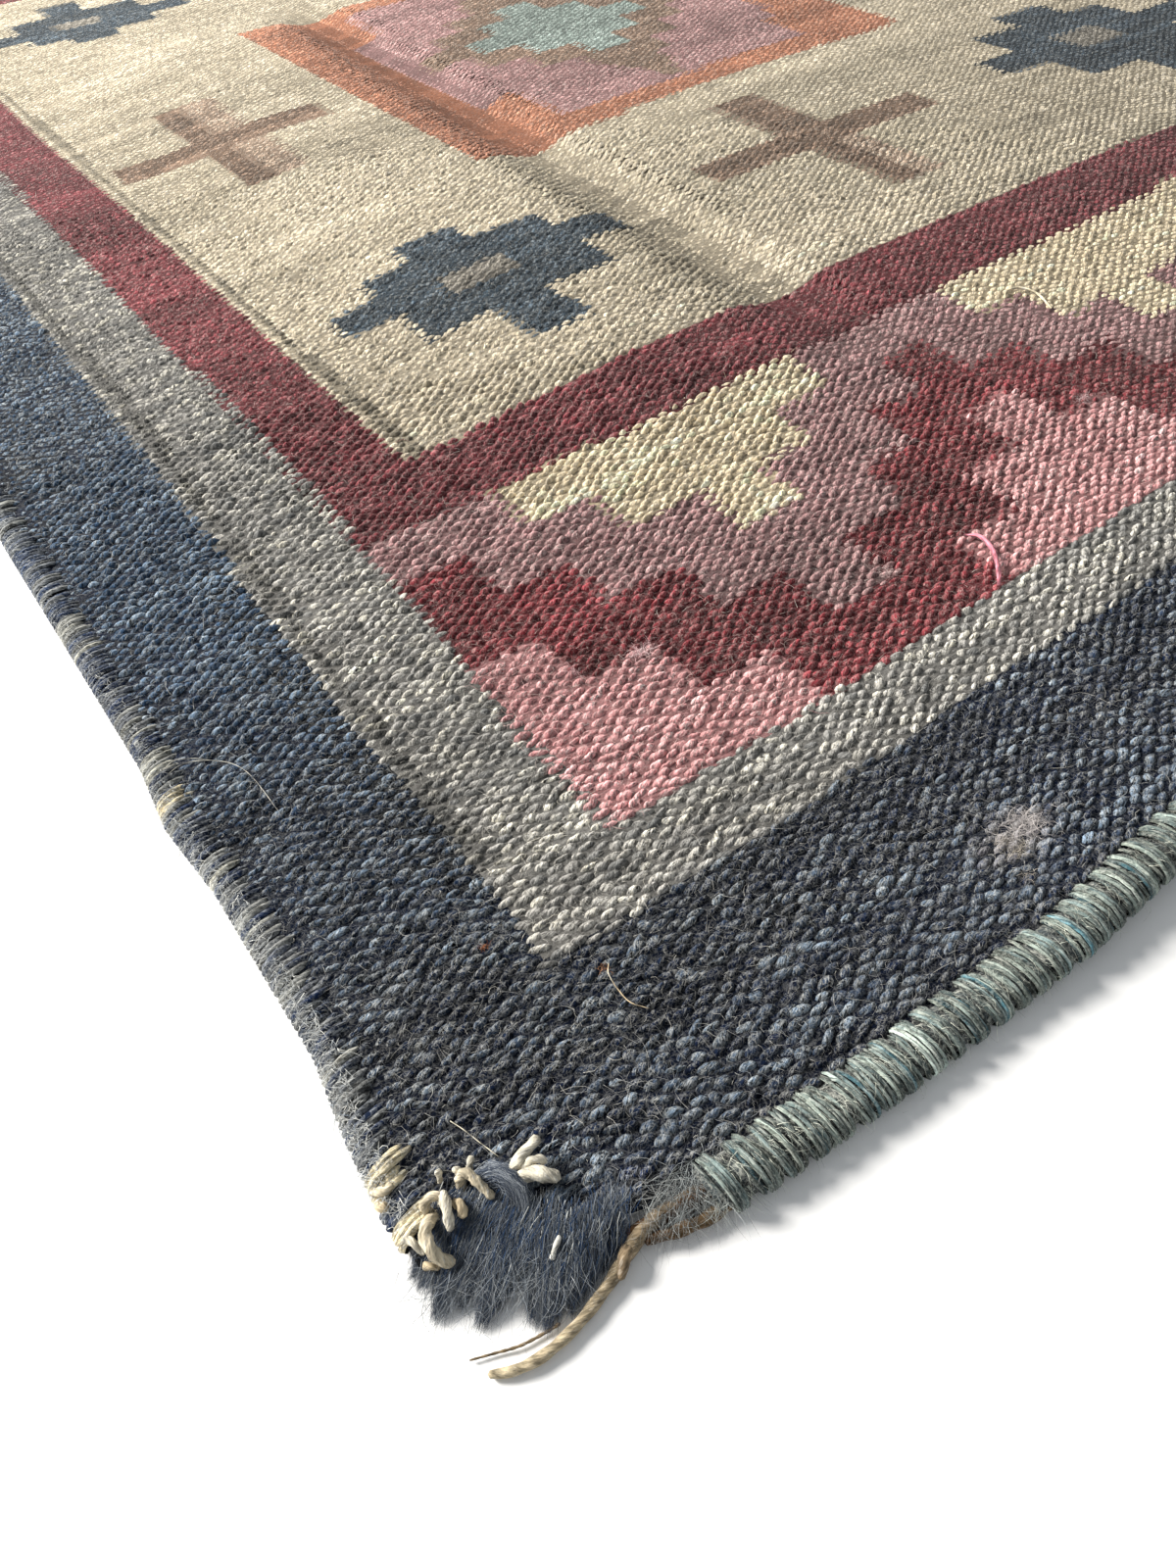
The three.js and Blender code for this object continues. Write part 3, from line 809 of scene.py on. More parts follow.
side = np.stack([rim, rim + slab_count, rim_next + slab_count, rim_next], -1)
cell_column = (ground_column[:-1, :-1] + ground_column[1:, 1:]) / 2
cell_row = (ground_row[:-1, :-1] + ground_row[1:, 1:]) / 2
cell_yarn = woven_yarn(*plan_at(cell_column, cell_row)).ravel()
cell_tint = np.concatenate([DYES[cell_yarn], np.full((len(cell_yarn), 1), 0.1)], axis=1)
under_tint = cell_tint.copy()
# painted shade: the top's cells darkened in the gaps between stitches
gap_shade = GAP_SHADE_NEAR + (GAP_SHADE_FAR - GAP_SHADE_NEAR) * smooth((cell_row - 150) / 350)
tone_row = np.clip((cell_row / WEFT_PITCH).astype(int), 0, ROWS - 1)
tone_column = np.clip((cell_column / (2 * WARP_PITCH)).astype(int), 0, COLUMNS - 1)
gap_shade = gap_shade * np.exp(tone[tone_row, tone_column])
cell_tint[:, :3] *= gap_shade.reshape(-1, 1)
side_tint = np.tile(np.append(DYES[YARN["indigo"]], 0.1), (len(side), 1))
ground_points = np.concatenate([top.reshape(-1, 3), under.reshape(-1, 3)])
ground_yarn = np.concatenate([
    np.stack([ground_x.ravel(), ground_y.ravel(), np.zeros(slab_count)], -1)] * 2)
ground = piece(
    "woven_ground", ground_points, [upper, lower, side],
    np.concatenate([cell_tint, under_tint, side_tint]), ground_yarn,
    WOOL_GROUND, "rug_cloth", per_corner=True)

# %% [markdown]
# ## The stitches themselves
# A stitch is a short bead of yarn that rises over one warp and dives at both ends. It
# could be left to a bump in the shader, but this camera is very close to the rug, so
# each one is a real form: full beads near the worn corner, plainer ones further off,
# where a stitch is only a few pixels wide, and the plainest outside the picture.

# %% One bead of yarn
BEAD_LONG = 2.7
BEAD_WIDE = 1.18
BEAD_HIGH = 1.1


def bead_shape(lengthwise, sidewise):
    """A bead on a grid: s runs from end to end and t from side to side, both -1 to 1. The
    half width at s is (1 - s^2)^0.55 and the height is the width's root times the root
    of 1 - 0.97 t^2. The two ends are single points. Gives s, t, width, height and faces."""
    s_line = np.linspace(-1, 1, lengthwise + 2)[1:-1] * 0.93
    t_line = np.linspace(-1, 1, sidewise)
    s, t = (part.ravel() for part in np.meshgrid(s_line, t_line, indexing="ij"))
    s = np.concatenate([[-1], s, [1]])
    t = np.concatenate([[0], t, [0]])
    wide = (1 - s * s) ** 0.55
    high = np.sqrt(np.clip(wide, 0, 1)) * np.sqrt(np.clip(1 - t * t * 0.97, 0, 1))
    body = grid_faces(lengthwise, sidewise) + 1
    step = np.arange(sidewise - 1)
    first = np.stack([np.zeros_like(step), step + 1, step + 2], -1)
    last_row = 1 + (lengthwise - 1) * sidewise
    last = np.stack([np.full_like(step, len(s) - 1), last_row + step + 1, last_row + step], -1)
    return s, t, wide, high, [body, first, last]


def pyramid_shape():
    """The plainest bead: a lozenge of four low corners with its middle raised."""
    s = np.array([-1, 0, 1, 0, 0.0])
    t = np.array([0, -1, 0, 1, 0.0])
    wide = np.array([0, 1, 0, 1, 1.0])
    high = np.array([0.1, 0.1, 0.1, 0.1, 0.8])
    faces = np.array([(0, 1, 4), (1, 2, 4), (2, 3, 4), (3, 0, 4)])
    return s, t, wide, high, [faces]


# distance from the camera in mm, and how high a stitch stands there as a share
FLATTER_AT = (400, 560, 700, 1000)
FLATTER_TO = (1.0, 0.82, 0.66, 0.5)


def sewn(name, chosen, shape):
    """Puts one shape at every chosen stitch: turned a little, a little longer or shorter,
    following the lie of the cloth, a little lumpy, in its stitch's dye. Stitches get
    lower, and the painted shade at their feet lighter, with distance from the camera, both
    by FLATTER_TO. On the rug they don't: the photograph is soft there, and full beads look
    too crisp."""
    s, t, wide, high, faces = shape
    count = len(chosen)
    size = np.interp(away[chosen], FLATTER_AT, FLATTER_TO)[:, None]
    pick = np.random.default_rng(len(name) * 1000 + count)
    turned = 0.02 + 0.18 * pick.standard_normal((count, 1))
    longer = BEAD_LONG * (1 + 0.16 * pick.standard_normal((count, 1)))
    wider = BEAD_WIDE * (1 + 0.18 * pick.standard_normal((count, 1)))
    higher = BEAD_HIGH * size * (1 + 0.22 * pick.standard_normal((count, 1)))
    sideways = 0.32 * pick.standard_normal((count, 2))
    along = longer * s
    across = wider * wide * t
    column = stitch_column.ravel()[chosen][:, None] + sideways[:, :1]
    row = stitch_row.ravel()[chosen][:, None] + sideways[:, 1:]
    column = column + along * np.cos(turned) - across * np.sin(turned)
    row = row + along * np.sin(turned) + across * np.cos(turned)
    x, y = plan_at(column, row)
    lumpy = 1 + 0.16 * pick.standard_normal(high.shape) * (np.abs(s) < 1)
    z = lift_at(x, y) + GROUND_TOP - 0.35 * size * size + higher * high * lumpy
    points = in_metres(x, y, z).reshape(-1, 3)
    tint = np.concatenate([
        stitch_dye.reshape(-1, 3)[chosen], stitch_fleck.reshape(-1, 1)[chosen]], axis=1)
    tint = np.repeat(tint, len(s), axis=0)
    seed = np.broadcast_to(pick.random((count, 1)), along.shape)
    yarn = np.stack([along * size, across * size, seed], -1).reshape(-1, 3)
    spread = [face_rows(part, count, len(s)) for part in faces]
    return piece(name, points, spread, tint, yarn, WOOL, "rug_cloth")


# %% Sort the stitches by how closely the camera sees them
centre_x, centre_y = plan_at(stitch_column.ravel(), stitch_row.ravel())
centre = in_metres(centre_x, centre_y, lift_at(centre_x, centre_y) + 4)
pixel_x, pixel_y, ahead = photo_pixel(centre)
# how far past the picture's edge a stitch still counts as seen, in pixels
MARGIN = 50
seen = ahead > 0
for pixel, size in zip((pixel_x, pixel_y), PHOTO_SIZE):
    seen &= np.abs(pixel - size / 2) < size / 2 + MARGIN
away = np.linalg.norm(centre - CAMERA_AT, axis=1) / MM
kept = centre_y > worn_edge(centre_x) + 1.2
# distances from the camera in mm at which the stitches' form gets plainer
PLAINER_AT = (275, 420, 620)
level = np.digitize(away, PLAINER_AT)
near_half = stitch_row.ravel() < RUG_LONG / 2
# name, which stitches, their form
LEVELS = (
    ("closest", seen & (level == 0), bead_shape(5, 5)),
    ("near", seen & (level == 1), bead_shape(3, 4)),
    ("middle", seen & (level == 2), bead_shape(2, 3)),
    ("upper", seen & (level == 3), pyramid_shape()),
    ("beyond_near", ~seen & near_half, pyramid_shape()),
    ("beyond_far", ~seen & ~near_half, pyramid_shape()),
)
for label, mask, shape in LEVELS:
    chosen = np.flatnonzero(mask & kept)
    print(label, len(chosen), "stitches")
    sewn("stitches_" + label, chosen, shape)

# %% [markdown]
# ## The selvedges
# At each side the weft turns round the two outer warps and comes back, so the edge is
# a row of slanting wraps, rounder than the stitches of the field and paler than the
# indigo beside them. Each wrap is half a tube carried from the top of the cloth round
# to the floor.

# %% A strand carried over an edge
def strand_over(run, high, half_wide, half_round, lean, count_round):
    """Half a tube along a bent path. run and high are the path's places inwards and
    upwards. Its section at t from -1 to 1 stands off the path by half_round times the
    root of 1 - 0.96 t^2, along the path's own outward normal, and lies t * half_wide to
    the side, while lean shifts the path sideways as it runs inwards. Both ends taper.
    Gives the places inwards, sideways and upwards, the length run, and t."""
    t = np.linspace(-1, 1, count_round)
    d_run = np.gradient(run)
    d_high = np.gradient(high)
    size = np.hypot(d_run, d_high)
    out_run, out_high = d_high / size, -d_run / size
    taper = np.ones(len(run))
    taper[[0, -1]] = 0.55
    stand = np.sqrt(1 - t * t * 0.96) * half_round * taper[:, None]
    inwards = run[:, None] + out_run[:, None] * stand
    upwards = high[:, None] + out_high[:, None] * stand
    sideways = t * half_wide * taper[:, None] + lean * run[:, None]
    length = np.concatenate([[0], np.cumsum(np.hypot(np.diff(run), np.diff(high)))])
    length = np.broadcast_to(length[:, None], stand.shape)
    t = np.broadcast_to(t, stand.shape)
    return inwards, sideways, upwards, length, t


def root_shade(length):
    """Painted shade where a strand dives into the cloth: how dark it is, 1 - 0.7 e^(-length / 1.6)."""
    return 1 - 0.7 * np.exp(-length / 1.6)


def strands_piece(name, points, dye, pale, seeds, length, across, flipped, finish, node):
    """Makes one piece of many copies of a strand. points, dye and seeds have a row for each
    copy. length and across are the strand's own, the same for all, and its roots are
    darkened by painted shade. flipped turns its faces over."""
    rows, columns = length.shape
    count = len(seeds)
    tint = np.repeat(np.column_stack([dye, np.full(count, pale)]), rows * columns, axis=0)
    # painted shade where each strand dives into the cloth
    tint[:, :3] *= np.tile(root_shade(length).ravel(), count)[:, None]
    yarn = np.empty((count, rows, columns, 3))
    yarn[..., 0] = length
    yarn[..., 1] = across
    yarn[..., 2] = seeds[:, None, None]
    face = grid_faces(rows, columns)
    spread = face_rows(face[:, ::-1] if flipped else face, count, rows * columns)
    return piece(name, points.reshape(-1, 3), [spread], tint, yarn.reshape(-1, 3), finish, node)


# %% Left and right selvedge wraps
WRAP_PITCH = 1.7
WRAP_RUN = np.array([9.5, 7.2, 4.8, 2.6, 1.0, 0.45, 0.8, 2.4])
WRAP_HIGH = np.array([3.1, 3.9, 4.5, 4.3, 3.3, 2.2, 1.1, 0.5])
WRAP_LEAN = 0.27
# place along the left side and half length of the gaps where bare cotton shows
BARE_WRAPS = np.array([(31, 3.2), (20.5, 2.4), (150, 2.2)])
BARE_COTTON = (210, 196, 162)
WRAP_FLECKS = 0.42


def selvedge(name, right_side, count_round):
    """Wraps all along one side: the same bent strand at every pitch, each with its own
    reach and dye. On the right side the places inwards count from that side."""
    centres = np.arange(2.0, RUG_LONG - 2, WRAP_PITCH)
    count = len(centres)
    pick = np.random.default_rng(31 + right_side)
    centres = centres + 0.3 * pick.standard_normal(count)
    inwards, sideways, upwards, length, t = strand_over(
        WRAP_RUN, WRAP_HIGH, 1.0, 0.9, WRAP_LEAN, count_round)
    reach = 1 + 0.12 * pick.standard_normal((count, 1, 1))
    inner = np.where(inwards > 2.6, 2.6 + (inwards - 2.6) * reach, inwards)
    column = RUG_WIDE - inner if right_side else inner
    row = centres[:, None, None] + sideways
    x, y = plan_at(column, row)
    z = lift_at(x, y) + upwards + 0.25 * pick.standard_normal((count, 1, 1)) * (upwards > 2.5)
    kept = y.min(axis=(1, 2)) > worn_edge(x.mean(axis=(1, 2))) + 1.0
    shift = pick.standard_normal((count, 1))
    slow_shift = banded(count, 4, 33)[:, None]
    rubbed = np.clip(0.16 + 0.26 * shift + 0.24 * slow_shift, 0, 1)
    dye = toward(DYES[YARN["indigo"]], (158, 156, 144), rubbed)
    dye = toward(dye, (80, 108, 142), smooth((centres[:, None] - 150) / 500) * 0.6)
    dye = dye * np.exp(0.22 * pick.standard_normal((count, 1)))
    if not right_side:
        bare = (np.abs(centres[:, None] - BARE_WRAPS[:, 0]) < BARE_WRAPS[:, 1]).any(axis=1)
        dye = np.where(bare[:, None], linear(BARE_COTTON), dye)
    return strands_piece(name, in_metres(x, y, z)[kept], dye[kept], WRAP_FLECKS, pick.random(count)[kept],
                         length, t * 1.5, not right_side, SIDE_WOOL, "rug_cloth")


selvedge("selvedge_left", False, 4)
selvedge("selvedge_right", True, 3)

# %% [markdown]
# ## The overcast ends
# The near end is whipped over with grey-green wool so that the warps can't slip, and the
# far end, which the photograph doesn't show, is taken to be finished the same way. Every
# turn is a thick bundle of soft strands that goes over the edge at a slant, bulges,
# and bites into the cloth, with a dark gap before the next one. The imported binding
# gives the section. Here every turn gets its own strands.

# %% The turns of the binding
TURN_PITCH = 6.0
TURN_RUN = np.array([12.4, 10.9, 8.8, 6.4, 4.0, 2.0, 0.95, 0.9, 1.9, 3.6])
TURN_HIGH = np.array([3.0, 4.6, 5.7, 6.1, 5.8, 4.7, 3.4, 2.1, 0.9, 0.55])
TURN_LEAN = -0.08
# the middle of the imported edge, which the strands swell away from
EDGE_MIDDLE = (5.0, 3.0)
TURN_DARK = (84, 98, 98)
TURN_PALE = (146, 156, 146)
TURN_TEAL = (56, 86, 94)
TEAL_SHARE = 0.09
TURN_FLECKS = 0.38


def overcast(name, far_side, first_x, strands, count_round, node):
    """Turns along one end. Strand m of a turn, from -1 to 1, lies beside the others across
    the bundle. Over the edge it stands off by 1.9 times the root of 1 - 0.95 m^2, less
    1.2, so the middle strands bulge, and the outermost are darker by 0.9 m^4, which is
    painted shade in the gaps between turns."""
    centres = np.arange(first_x, RUG_WIDE - 2, TURN_PITCH)
    count = len(centres)
    pick = np.random.default_rng(41 + far_side)
    centres = centres + 0.45 * pick.standard_normal(count)
    m = np.linspace(-1, 1, strands)
    inwards, sideways, upwards, length, t = strand_over(
        TURN_RUN, TURN_HIGH, 3.3 / strands, 0.72, TURN_LEAN, count_round)
    shape = (count, strands, 1, 1)
    lay = np.linspace(0, 1, len(TURN_RUN))[:, None]
    over = np.sin(np.pi * np.clip(lay * 1.15, 0, 1))
    bundle = (m[None, :, None, None] * 2.25 * (1 + 0.10 * pick.standard_normal((count, 1, 1, 1)))
              * (0.72 + 0.34 * over))
    crown = np.sqrt(1 - 0.95 * m * m)[None, :, None, None]
    swell = (1.9 * crown - 1.2) * over + 0.3 * pick.standard_normal(shape) * over
    from_run = inwards - EDGE_MIDDLE[0]
    from_high = upwards - EDGE_MIDDLE[1]
    radius = np.hypot(from_run, from_high)
    inner = inwards + from_run / radius * swell + 0.3 * pick.standard_normal(shape) * (lay < 0.15)
    high = upwards + from_high / radius * swell * (upwards > 1.5)
    wander = 0.45 * pick.standard_normal(shape) * np.sin(np.pi * lay + pick.random(shape) * 6)
    x = centres[:, None, None, None] + sideways + bundle + wander
    along = np.clip(x, 0, RUG_WIDE)
    inner = np.maximum(inner, 0.15)
    y = RUG_LONG + far_end(along) - inner if far_side else near_end(along) + inner
    right = np.interp(y, SELVEDGES[:, 0], SELVEDGES[:, 2]) * (x / RUG_WIDE)
    x_plan = x + right * smooth((x - 700) / 120)
    z = np.maximum(lift_at(x_plan, y) + high, 0.12)
    points = in_metres(x_plan, y, z).reshape(-1, 3)
    tone = 0.18 * pick.standard_normal((count, 1)) + 0.14 * banded(count, 4, 43)[:, None]
    # random tone per strand, and painted shade on the outermost strands of each turn
    strand_tone_and_shade = tone + 0.3 * pick.standard_normal((count, strands)) - 0.9 * m[None] ** 4 + 0.15
    mix = np.clip(0.3 + 0.28 * pick.standard_normal((count, strands, 1)), 0, 1)
    teal = pick.random((count, strands, 1)) < TEAL_SHARE
    dye = np.where(teal, linear(TURN_TEAL), blended(TURN_DARK, TURN_PALE, mix))
    dye = dye * np.exp(strand_tone_and_shade)[..., None]
    return strands_piece(name, points, dye.reshape(-1, 3), TURN_FLECKS, pick.random(shape).ravel(),
                         length, t * 0.7, far_side, OVERCAST, node)


overcast("binding_turns_near", False, 51.5, 8, 4, "end_binding_near")
overcast("binding_turns_far", True, 5.0, 4, 4, "end_binding_far")

# %% The cord under the turns
CORE_SECTION = np.array([
    (11.2, 3.2), (9.0, 4.6), (6.2, 5.3), (3.6, 4.8), (1.9, 3.4), (1.6, 2.0), (2.6, 0.6), (9.0, 0.3)])


def binding_core(name, far_side, first_x, node):
    """The packed edge inside the turns, dark as painted shade for the gaps between them: a
    closed section carried along x, its two open ends shut by fans."""
    x = np.linspace(first_x, RUG_WIDE - 3.0, 180)[:, None]
    inner, high = CORE_SECTION[:, 0][None], CORE_SECTION[:, 1][None]
    y = (RUG_LONG + far_end(x) - inner) if far_side else (near_end(x) + inner)
    z = lift_at(x, y) + high
    x_all = x + 0 * inner
    points = in_metres(x_all, y, z)
    rows, columns = x_all.shape
    body = grid_faces(rows, columns, wrap=True)
    if not far_side:
        body = body[:, ::-1]
    first = np.arange(columns)[None]
    last = first + (rows - 1) * columns
    caps = [first, last[:, ::-1]] if far_side else [first[:, ::-1], last]
    # painted shade: the core shows only in the gaps between turns, so it is dark
    tint = np.tile(np.append(linear((50, 56, 58)), 0.5), (rows * columns, 1))
    yarn = np.stack([x_all, high + 0 * x_all, 0 * x_all], -1).reshape(-1, 3)
    return piece(name, points.reshape(-1, 3), [body, *caps], tint, yarn,
                 OVERCAST, node)


binding_core("binding_core_near", False, 47.0, "end_binding_near")
binding_core("binding_core_far", True, 2.0, "end_binding_far")

# %% [markdown]
# ## The worn corner
# Where the binding has worn through, the cotton warps stick out: short cut ends that
# curl back over the weave, and one long cord that lies loose on the floor. Each is a
# plied yarn, so its section is not round but lobed, and the lobes turn as it goes.

# %% A plied cord along a path
def eased_path(knots, count):
    """A smooth line through the knots (Catmull-Rom): between two knots, a cubic whose
    slope at each knot is half the step from the knot before to the knot after."""
    knots = np.asarray(knots, float)
    padded = np.concatenate([[2 * knots[0] - knots[1]], knots, [2 * knots[-1] - knots[-2]]])
    u = np.linspace(0, len(knots) - 1, count)
    k = np.minimum(u.astype(int), len(knots) - 2)
    t = (u - k)[:, None]
    a, b, c, d = (padded[k + i] for i in range(4))
    return 0.5 * (2 * b + (c - a) * t + (2 * a - 5 * b + 4 * c - d) * t ** 2
                  + (3 * b - 3 * c + d - a) * t ** 3)


def plied(knots, radius, plies=2, turns_per_mm=0.16, steps=22, ring=10, deep=0.3):
    """A lobed tube: at turn angle a and length s its radius is
    radius * (1 - deep + deep * |cos(plies (a - 2 pi s turns) / 2)|), closed by a point
    at each end. Gives points, faces, length and angle."""
    path = eased_path(knots, steps)
    tangent = np.gradient(path, axis=0)
    tangent /= np.linalg.norm(tangent, axis=1, keepdims=True)
    flat = np.linalg.svd(path - path.mean(axis=0))[2][2]
    side = flat - (tangent @ flat)[:, None] * tangent
    side /= np.linalg.norm(side, axis=1, keepdims=True)
    other = np.cross(tangent, side)
    length = np.concatenate([[0], np.cumsum(np.linalg.norm(np.diff(path, axis=0), axis=1))])
    angle = np.linspace(0, 2 * np.pi, ring, endpoint=False)
    phase = angle[None] - 2 * np.pi * turns_per_mm * length[:, None]
    lobes = 1 - deep + deep * np.abs(np.cos(plies * phase / 2))
    size = np.interp(np.linspace(0, 1, steps), np.linspace(0, 1, len(radius)), radius)[:, None]
    reach = size * lobes
    rim = path[:, None] + reach[..., None] * (
        np.cos(angle)[None, :, None] * side[:, None] + np.sin(angle)[None, :, None] * other[:, None])
    tips = path[[0, -1]] + tangent[[0, -1]] * size[[0, -1]] * np.array([[-0.6], [0.6]])
    points = np.concatenate([rim.reshape(-1, 3), tips])
    body = grid_faces(steps, ring, wrap=True)[:, ::-1]
    here = np.arange(ring)
    beside = (here + 1) % ring
    first = np.stack([np.full(ring, steps * ring), beside, here], -1)
    last = np.stack([np.full(ring, steps * ring + 1), here + (steps - 1) * ring,
                     beside + (steps - 1) * ring], -1)
    along = np.concatenate([np.repeat(length, ring), [0, length[-1]]])
    round_it = np.concatenate([np.tile(angle, steps), [0, 0]]) * size.mean()
    return points, [body, first, last], along, round_it


def joined_cords(name, cords, finish, node):
    """Several plied cords made into one piece. Each is (knots, radius, colour, settings),
    with one colour or a pair of them, which fades from the first to the last."""
    pick = np.random.default_rng(57)
    points, quads, fans, tints, yarns, so_far = [], [], [], [], [], 0
    for knots, radius, colour, settings in cords:
        own, faces, along, round_it = plied(knots, radius, **settings)
        points.append(own)
        quads.append(faces[0] + so_far)
        fans.append(np.concatenate(faces[1:]) + so_far)
        ends = linear(np.atleast_2d(colour))
        base = ends[0] + (ends[-1] - ends[0]) * (along / along.max())[:, None]
        # lighter and darker in waves along each cord
        waves_of_tone = np.exp(0.2 * np.sin(along * 1.7 + pick.random() * 6))[:, None]
        tints.append(np.concatenate([base * waves_of_tone, np.full((len(own), 1), 0.5)], axis=1))
        yarns.append(np.stack([along, round_it, np.full(len(own), pick.random())], -1))
        so_far += len(own)
    every = np.concatenate(points)
    places = in_metres(every[:, 0], every[:, 1], every[:, 2])
    return piece(name, places, [np.concatenate(quads), np.concatenate(fans)],
                 np.concatenate(tints), np.concatenate(yarns), finish, node)


# %% The cut ends, the core and the loose cord
CREAM = (228, 214, 186)
PALE = (238, 230, 210)
TAN = (208, 190, 158)
CORD_DARK = (104, 84, 62)
CORD_BROWN = (214, 198, 166)
# the settings of a thin cut end
fine = {"steps": 18, "ring": 10, "deep": 0.4}
# knots, radius at even steps, colour and settings of each cord
CUT_ENDS = [
    ([(5.2, 34.6, 2.6), (3.4, 34.2, 5.2), (1.6, 33.0, 7.2), (0.4, 30.6, 7.8), (0.6, 27.6, 6.2),
      (2.2, 26.0, 3.8)],
     (1.35, 1.35, 1.45, 1.3), CREAM, fine),
    ([(6.2, 35.6, 3.4), (6.6, 36.4, 6.0), (6.8, 35.0, 7.9), (6.0, 32.4, 8.4), (5.0, 30.2, 6.6)],
     (1.2, 1.25, 1.2, 1.0), PALE, fine),
    ([(4.2, 35.4, 3.2), (3.0, 36.2, 6.4), (4.6, 36.8, 8.0), (6.8, 36.0, 7.4)], (0.9, 1.1, 0.9), CREAM, fine),
    ([(8.0, 34.8, 3.4), (8.4, 33.4, 6.4), (8.6, 31.6, 7.8), (7.9, 30.6, 7.2)], (1.0, 1.15, 0.95), TAN, fine),
    ([(10.6, 36.0, 3.4), (11.2, 37.0, 6.8), (12.6, 36.4, 8.3), (13.4, 33.6, 7.6), (14.2, 30.6, 6.2)],
     (1.15, 1.15, 1.1, 0.9), CREAM, {"steps": 20, "ring": 10, "turns_per_mm": 0.26, "deep": 0.4}),
    ([(11.6, 37.2, 4.4), (11.6, 38.2, 6.6), (11.0, 38.8, 7.4)], (0.75, 0.9, 0.7), PALE, fine),
    ([(13.2, 37.6, 4.4), (14.2, 38.4, 6.6), (15.0, 38.8, 7.2)], (0.7, 0.85, 0.65), PALE, fine),
    ([(8.0, 39.6, 4.2), (8.4, 40.4, 6.0), (8.6, 40.6, 6.8)], (0.6, 0.8, 0.6), PALE, fine),
    ([(18.6, 32.4, 3.6), (20.2, 32.8, 6.2), (23.0, 33.4, 7.4), (26.8, 34.2, 7.6)],
     (1.15, 1.2, 1.25, 1.1), PALE, {"steps": 20, "ring": 10, "turns_per_mm": 0.1, "deep": 0.25}),
    ([(19.4, 31.0, 3.6), (21.4, 30.2, 6.4), (24.0, 28.2, 7.0), (25.8, 26.2, 6.4)],
     (1.3, 1.6, 1.7, 1.3), PALE, {"steps": 20, "ring": 12, "plies": 3, "turns_per_mm": 0.08, "deep": 0.4}),
    ([(20.0, 32.2, 4.2), (22.4, 31.8, 6.6), (24.8, 31.0, 7.2), (25.6, 30.0, 6.6)],
     (0.9, 1.1, 0.8), PALE, fine),
    ([(-2.4, 34.6, 4.6), (-1.6, 32.8, 4.4), (-0.9, 30.6, 3.2)], (0.9, 0.95, 0.8), PALE, fine),
    ([(-2.0, 28.6, 3.4), (-1.0, 27.6, 4.0), (0.2, 27.0, 3.2)], (0.8, 0.95, 0.7), TAN, fine),
    ([(-3.4, 45.6, 3.6), (-2.4, 44.4, 5.6), (-1.2, 43.6, 6.0), (0.2, 44.2, 5.6)],
     (0.8, 1.05, 0.8), CREAM, fine),
    ([(-3.7, 43.2, 3.2), (-3.2, 42.0, 4.6), (-2.4, 41.2, 5.4)], (1.0, 1.15, 0.9), TAN, fine),
    ([(17.0, 15.4, 5.0), (18.6, 16.4, 6.2), (20.2, 17.4, 6.0)], (0.5, 0.62, 0.5), (240, 238, 228), fine),
]
joined_cords("cotton_cut_ends", CUT_ENDS, COTTON, "warp_ends")

LONG_ENDS = [
    ([(46.0, 9.5, 2.6), (38.0, 10.4, 2.6), (33.0, 10.2, 2.3), (28.6, 8.8, 1.7), (22.5, 6.7, 1.3),
      (15.0, 4.8, 1.2), (7.5, 4.3, 1.1), (2.0, 5.4, 1.0), (-1.8, 7.4, 0.9)],
     (1.7, 1.7, 1.75, 1.45, 1.25, 1.1, 1.1, 1.0, 0.75), (CORD_DARK, CORD_BROWN),
     {"steps": 64, "ring": 12, "turns_per_mm": 0.08, "deep": 0.16}),
    ([(29.4, 9.6, 2.4), (27.8, 8.4, 2.8), (26.4, 7.0, 2.4), (25.4, 6.2, 1.8)],
     (1.2, 1.4, 1.25, 0.8), (140, 122, 98), {"steps": 16, "ring": 12, "turns_per_mm": 0.05}),
    ([(54.0, 5.0, 2.0), (46.0, 4.9, 1.9), (38.5, 6.6, 1.9), (33.0, 8.8, 2.0)],
     (1.5, 1.6, 1.4, 1.2), ((128, 108, 80), (86, 62, 40)), {"steps": 30, "ring": 12, "turns_per_mm": 0.08}),
    ([(52.0, 8.6, 3.0), (44.0, 9.4, 3.0), (37.0, 10.4, 2.8), (31.0, 11.4, 2.4)],
     (1.2, 1.35, 1.3, 1.0), (92, 66, 42), {"steps": 30, "ring": 12, "turns_per_mm": 0.03, "deep": 0.14}),
    ([(50.0, 7.2, 3.2), (42.0, 8.4, 3.0), (35.0, 10.2, 2.8)], (1.2, 1.2, 1.0), (56, 42, 32),
     {"steps": 24, "ring": 12, "turns_per_mm": 0.1}),
    ([(12.4, 6.9, 0.7), (8.6, 7.4, 0.5), (4.6, 8.2, 0.6), (0.6, 9.8, 0.5), (-3.4, 11.4, 0.6)],
     (0.38, 0.34, 0.3, 0.22), (140, 122, 96), {"steps": 40, "ring": 6, "turns_per_mm": 0.3}),
]
joined_cords("cotton_loose_cord", LONG_ENDS, COTTON, "warp_ends")

# %% [markdown]
# ## The tuft of unspun wool
# Below the worn edge the wefts have come apart into locks of blue-grey wool, brushed
# flat to a fan that points away from the rug. Locks are made of fibres, so each one
# is a sheaf of narrow ribbons over a tapering body that stops the floor from showing
# through, dark as painted shade deep among the fibres.

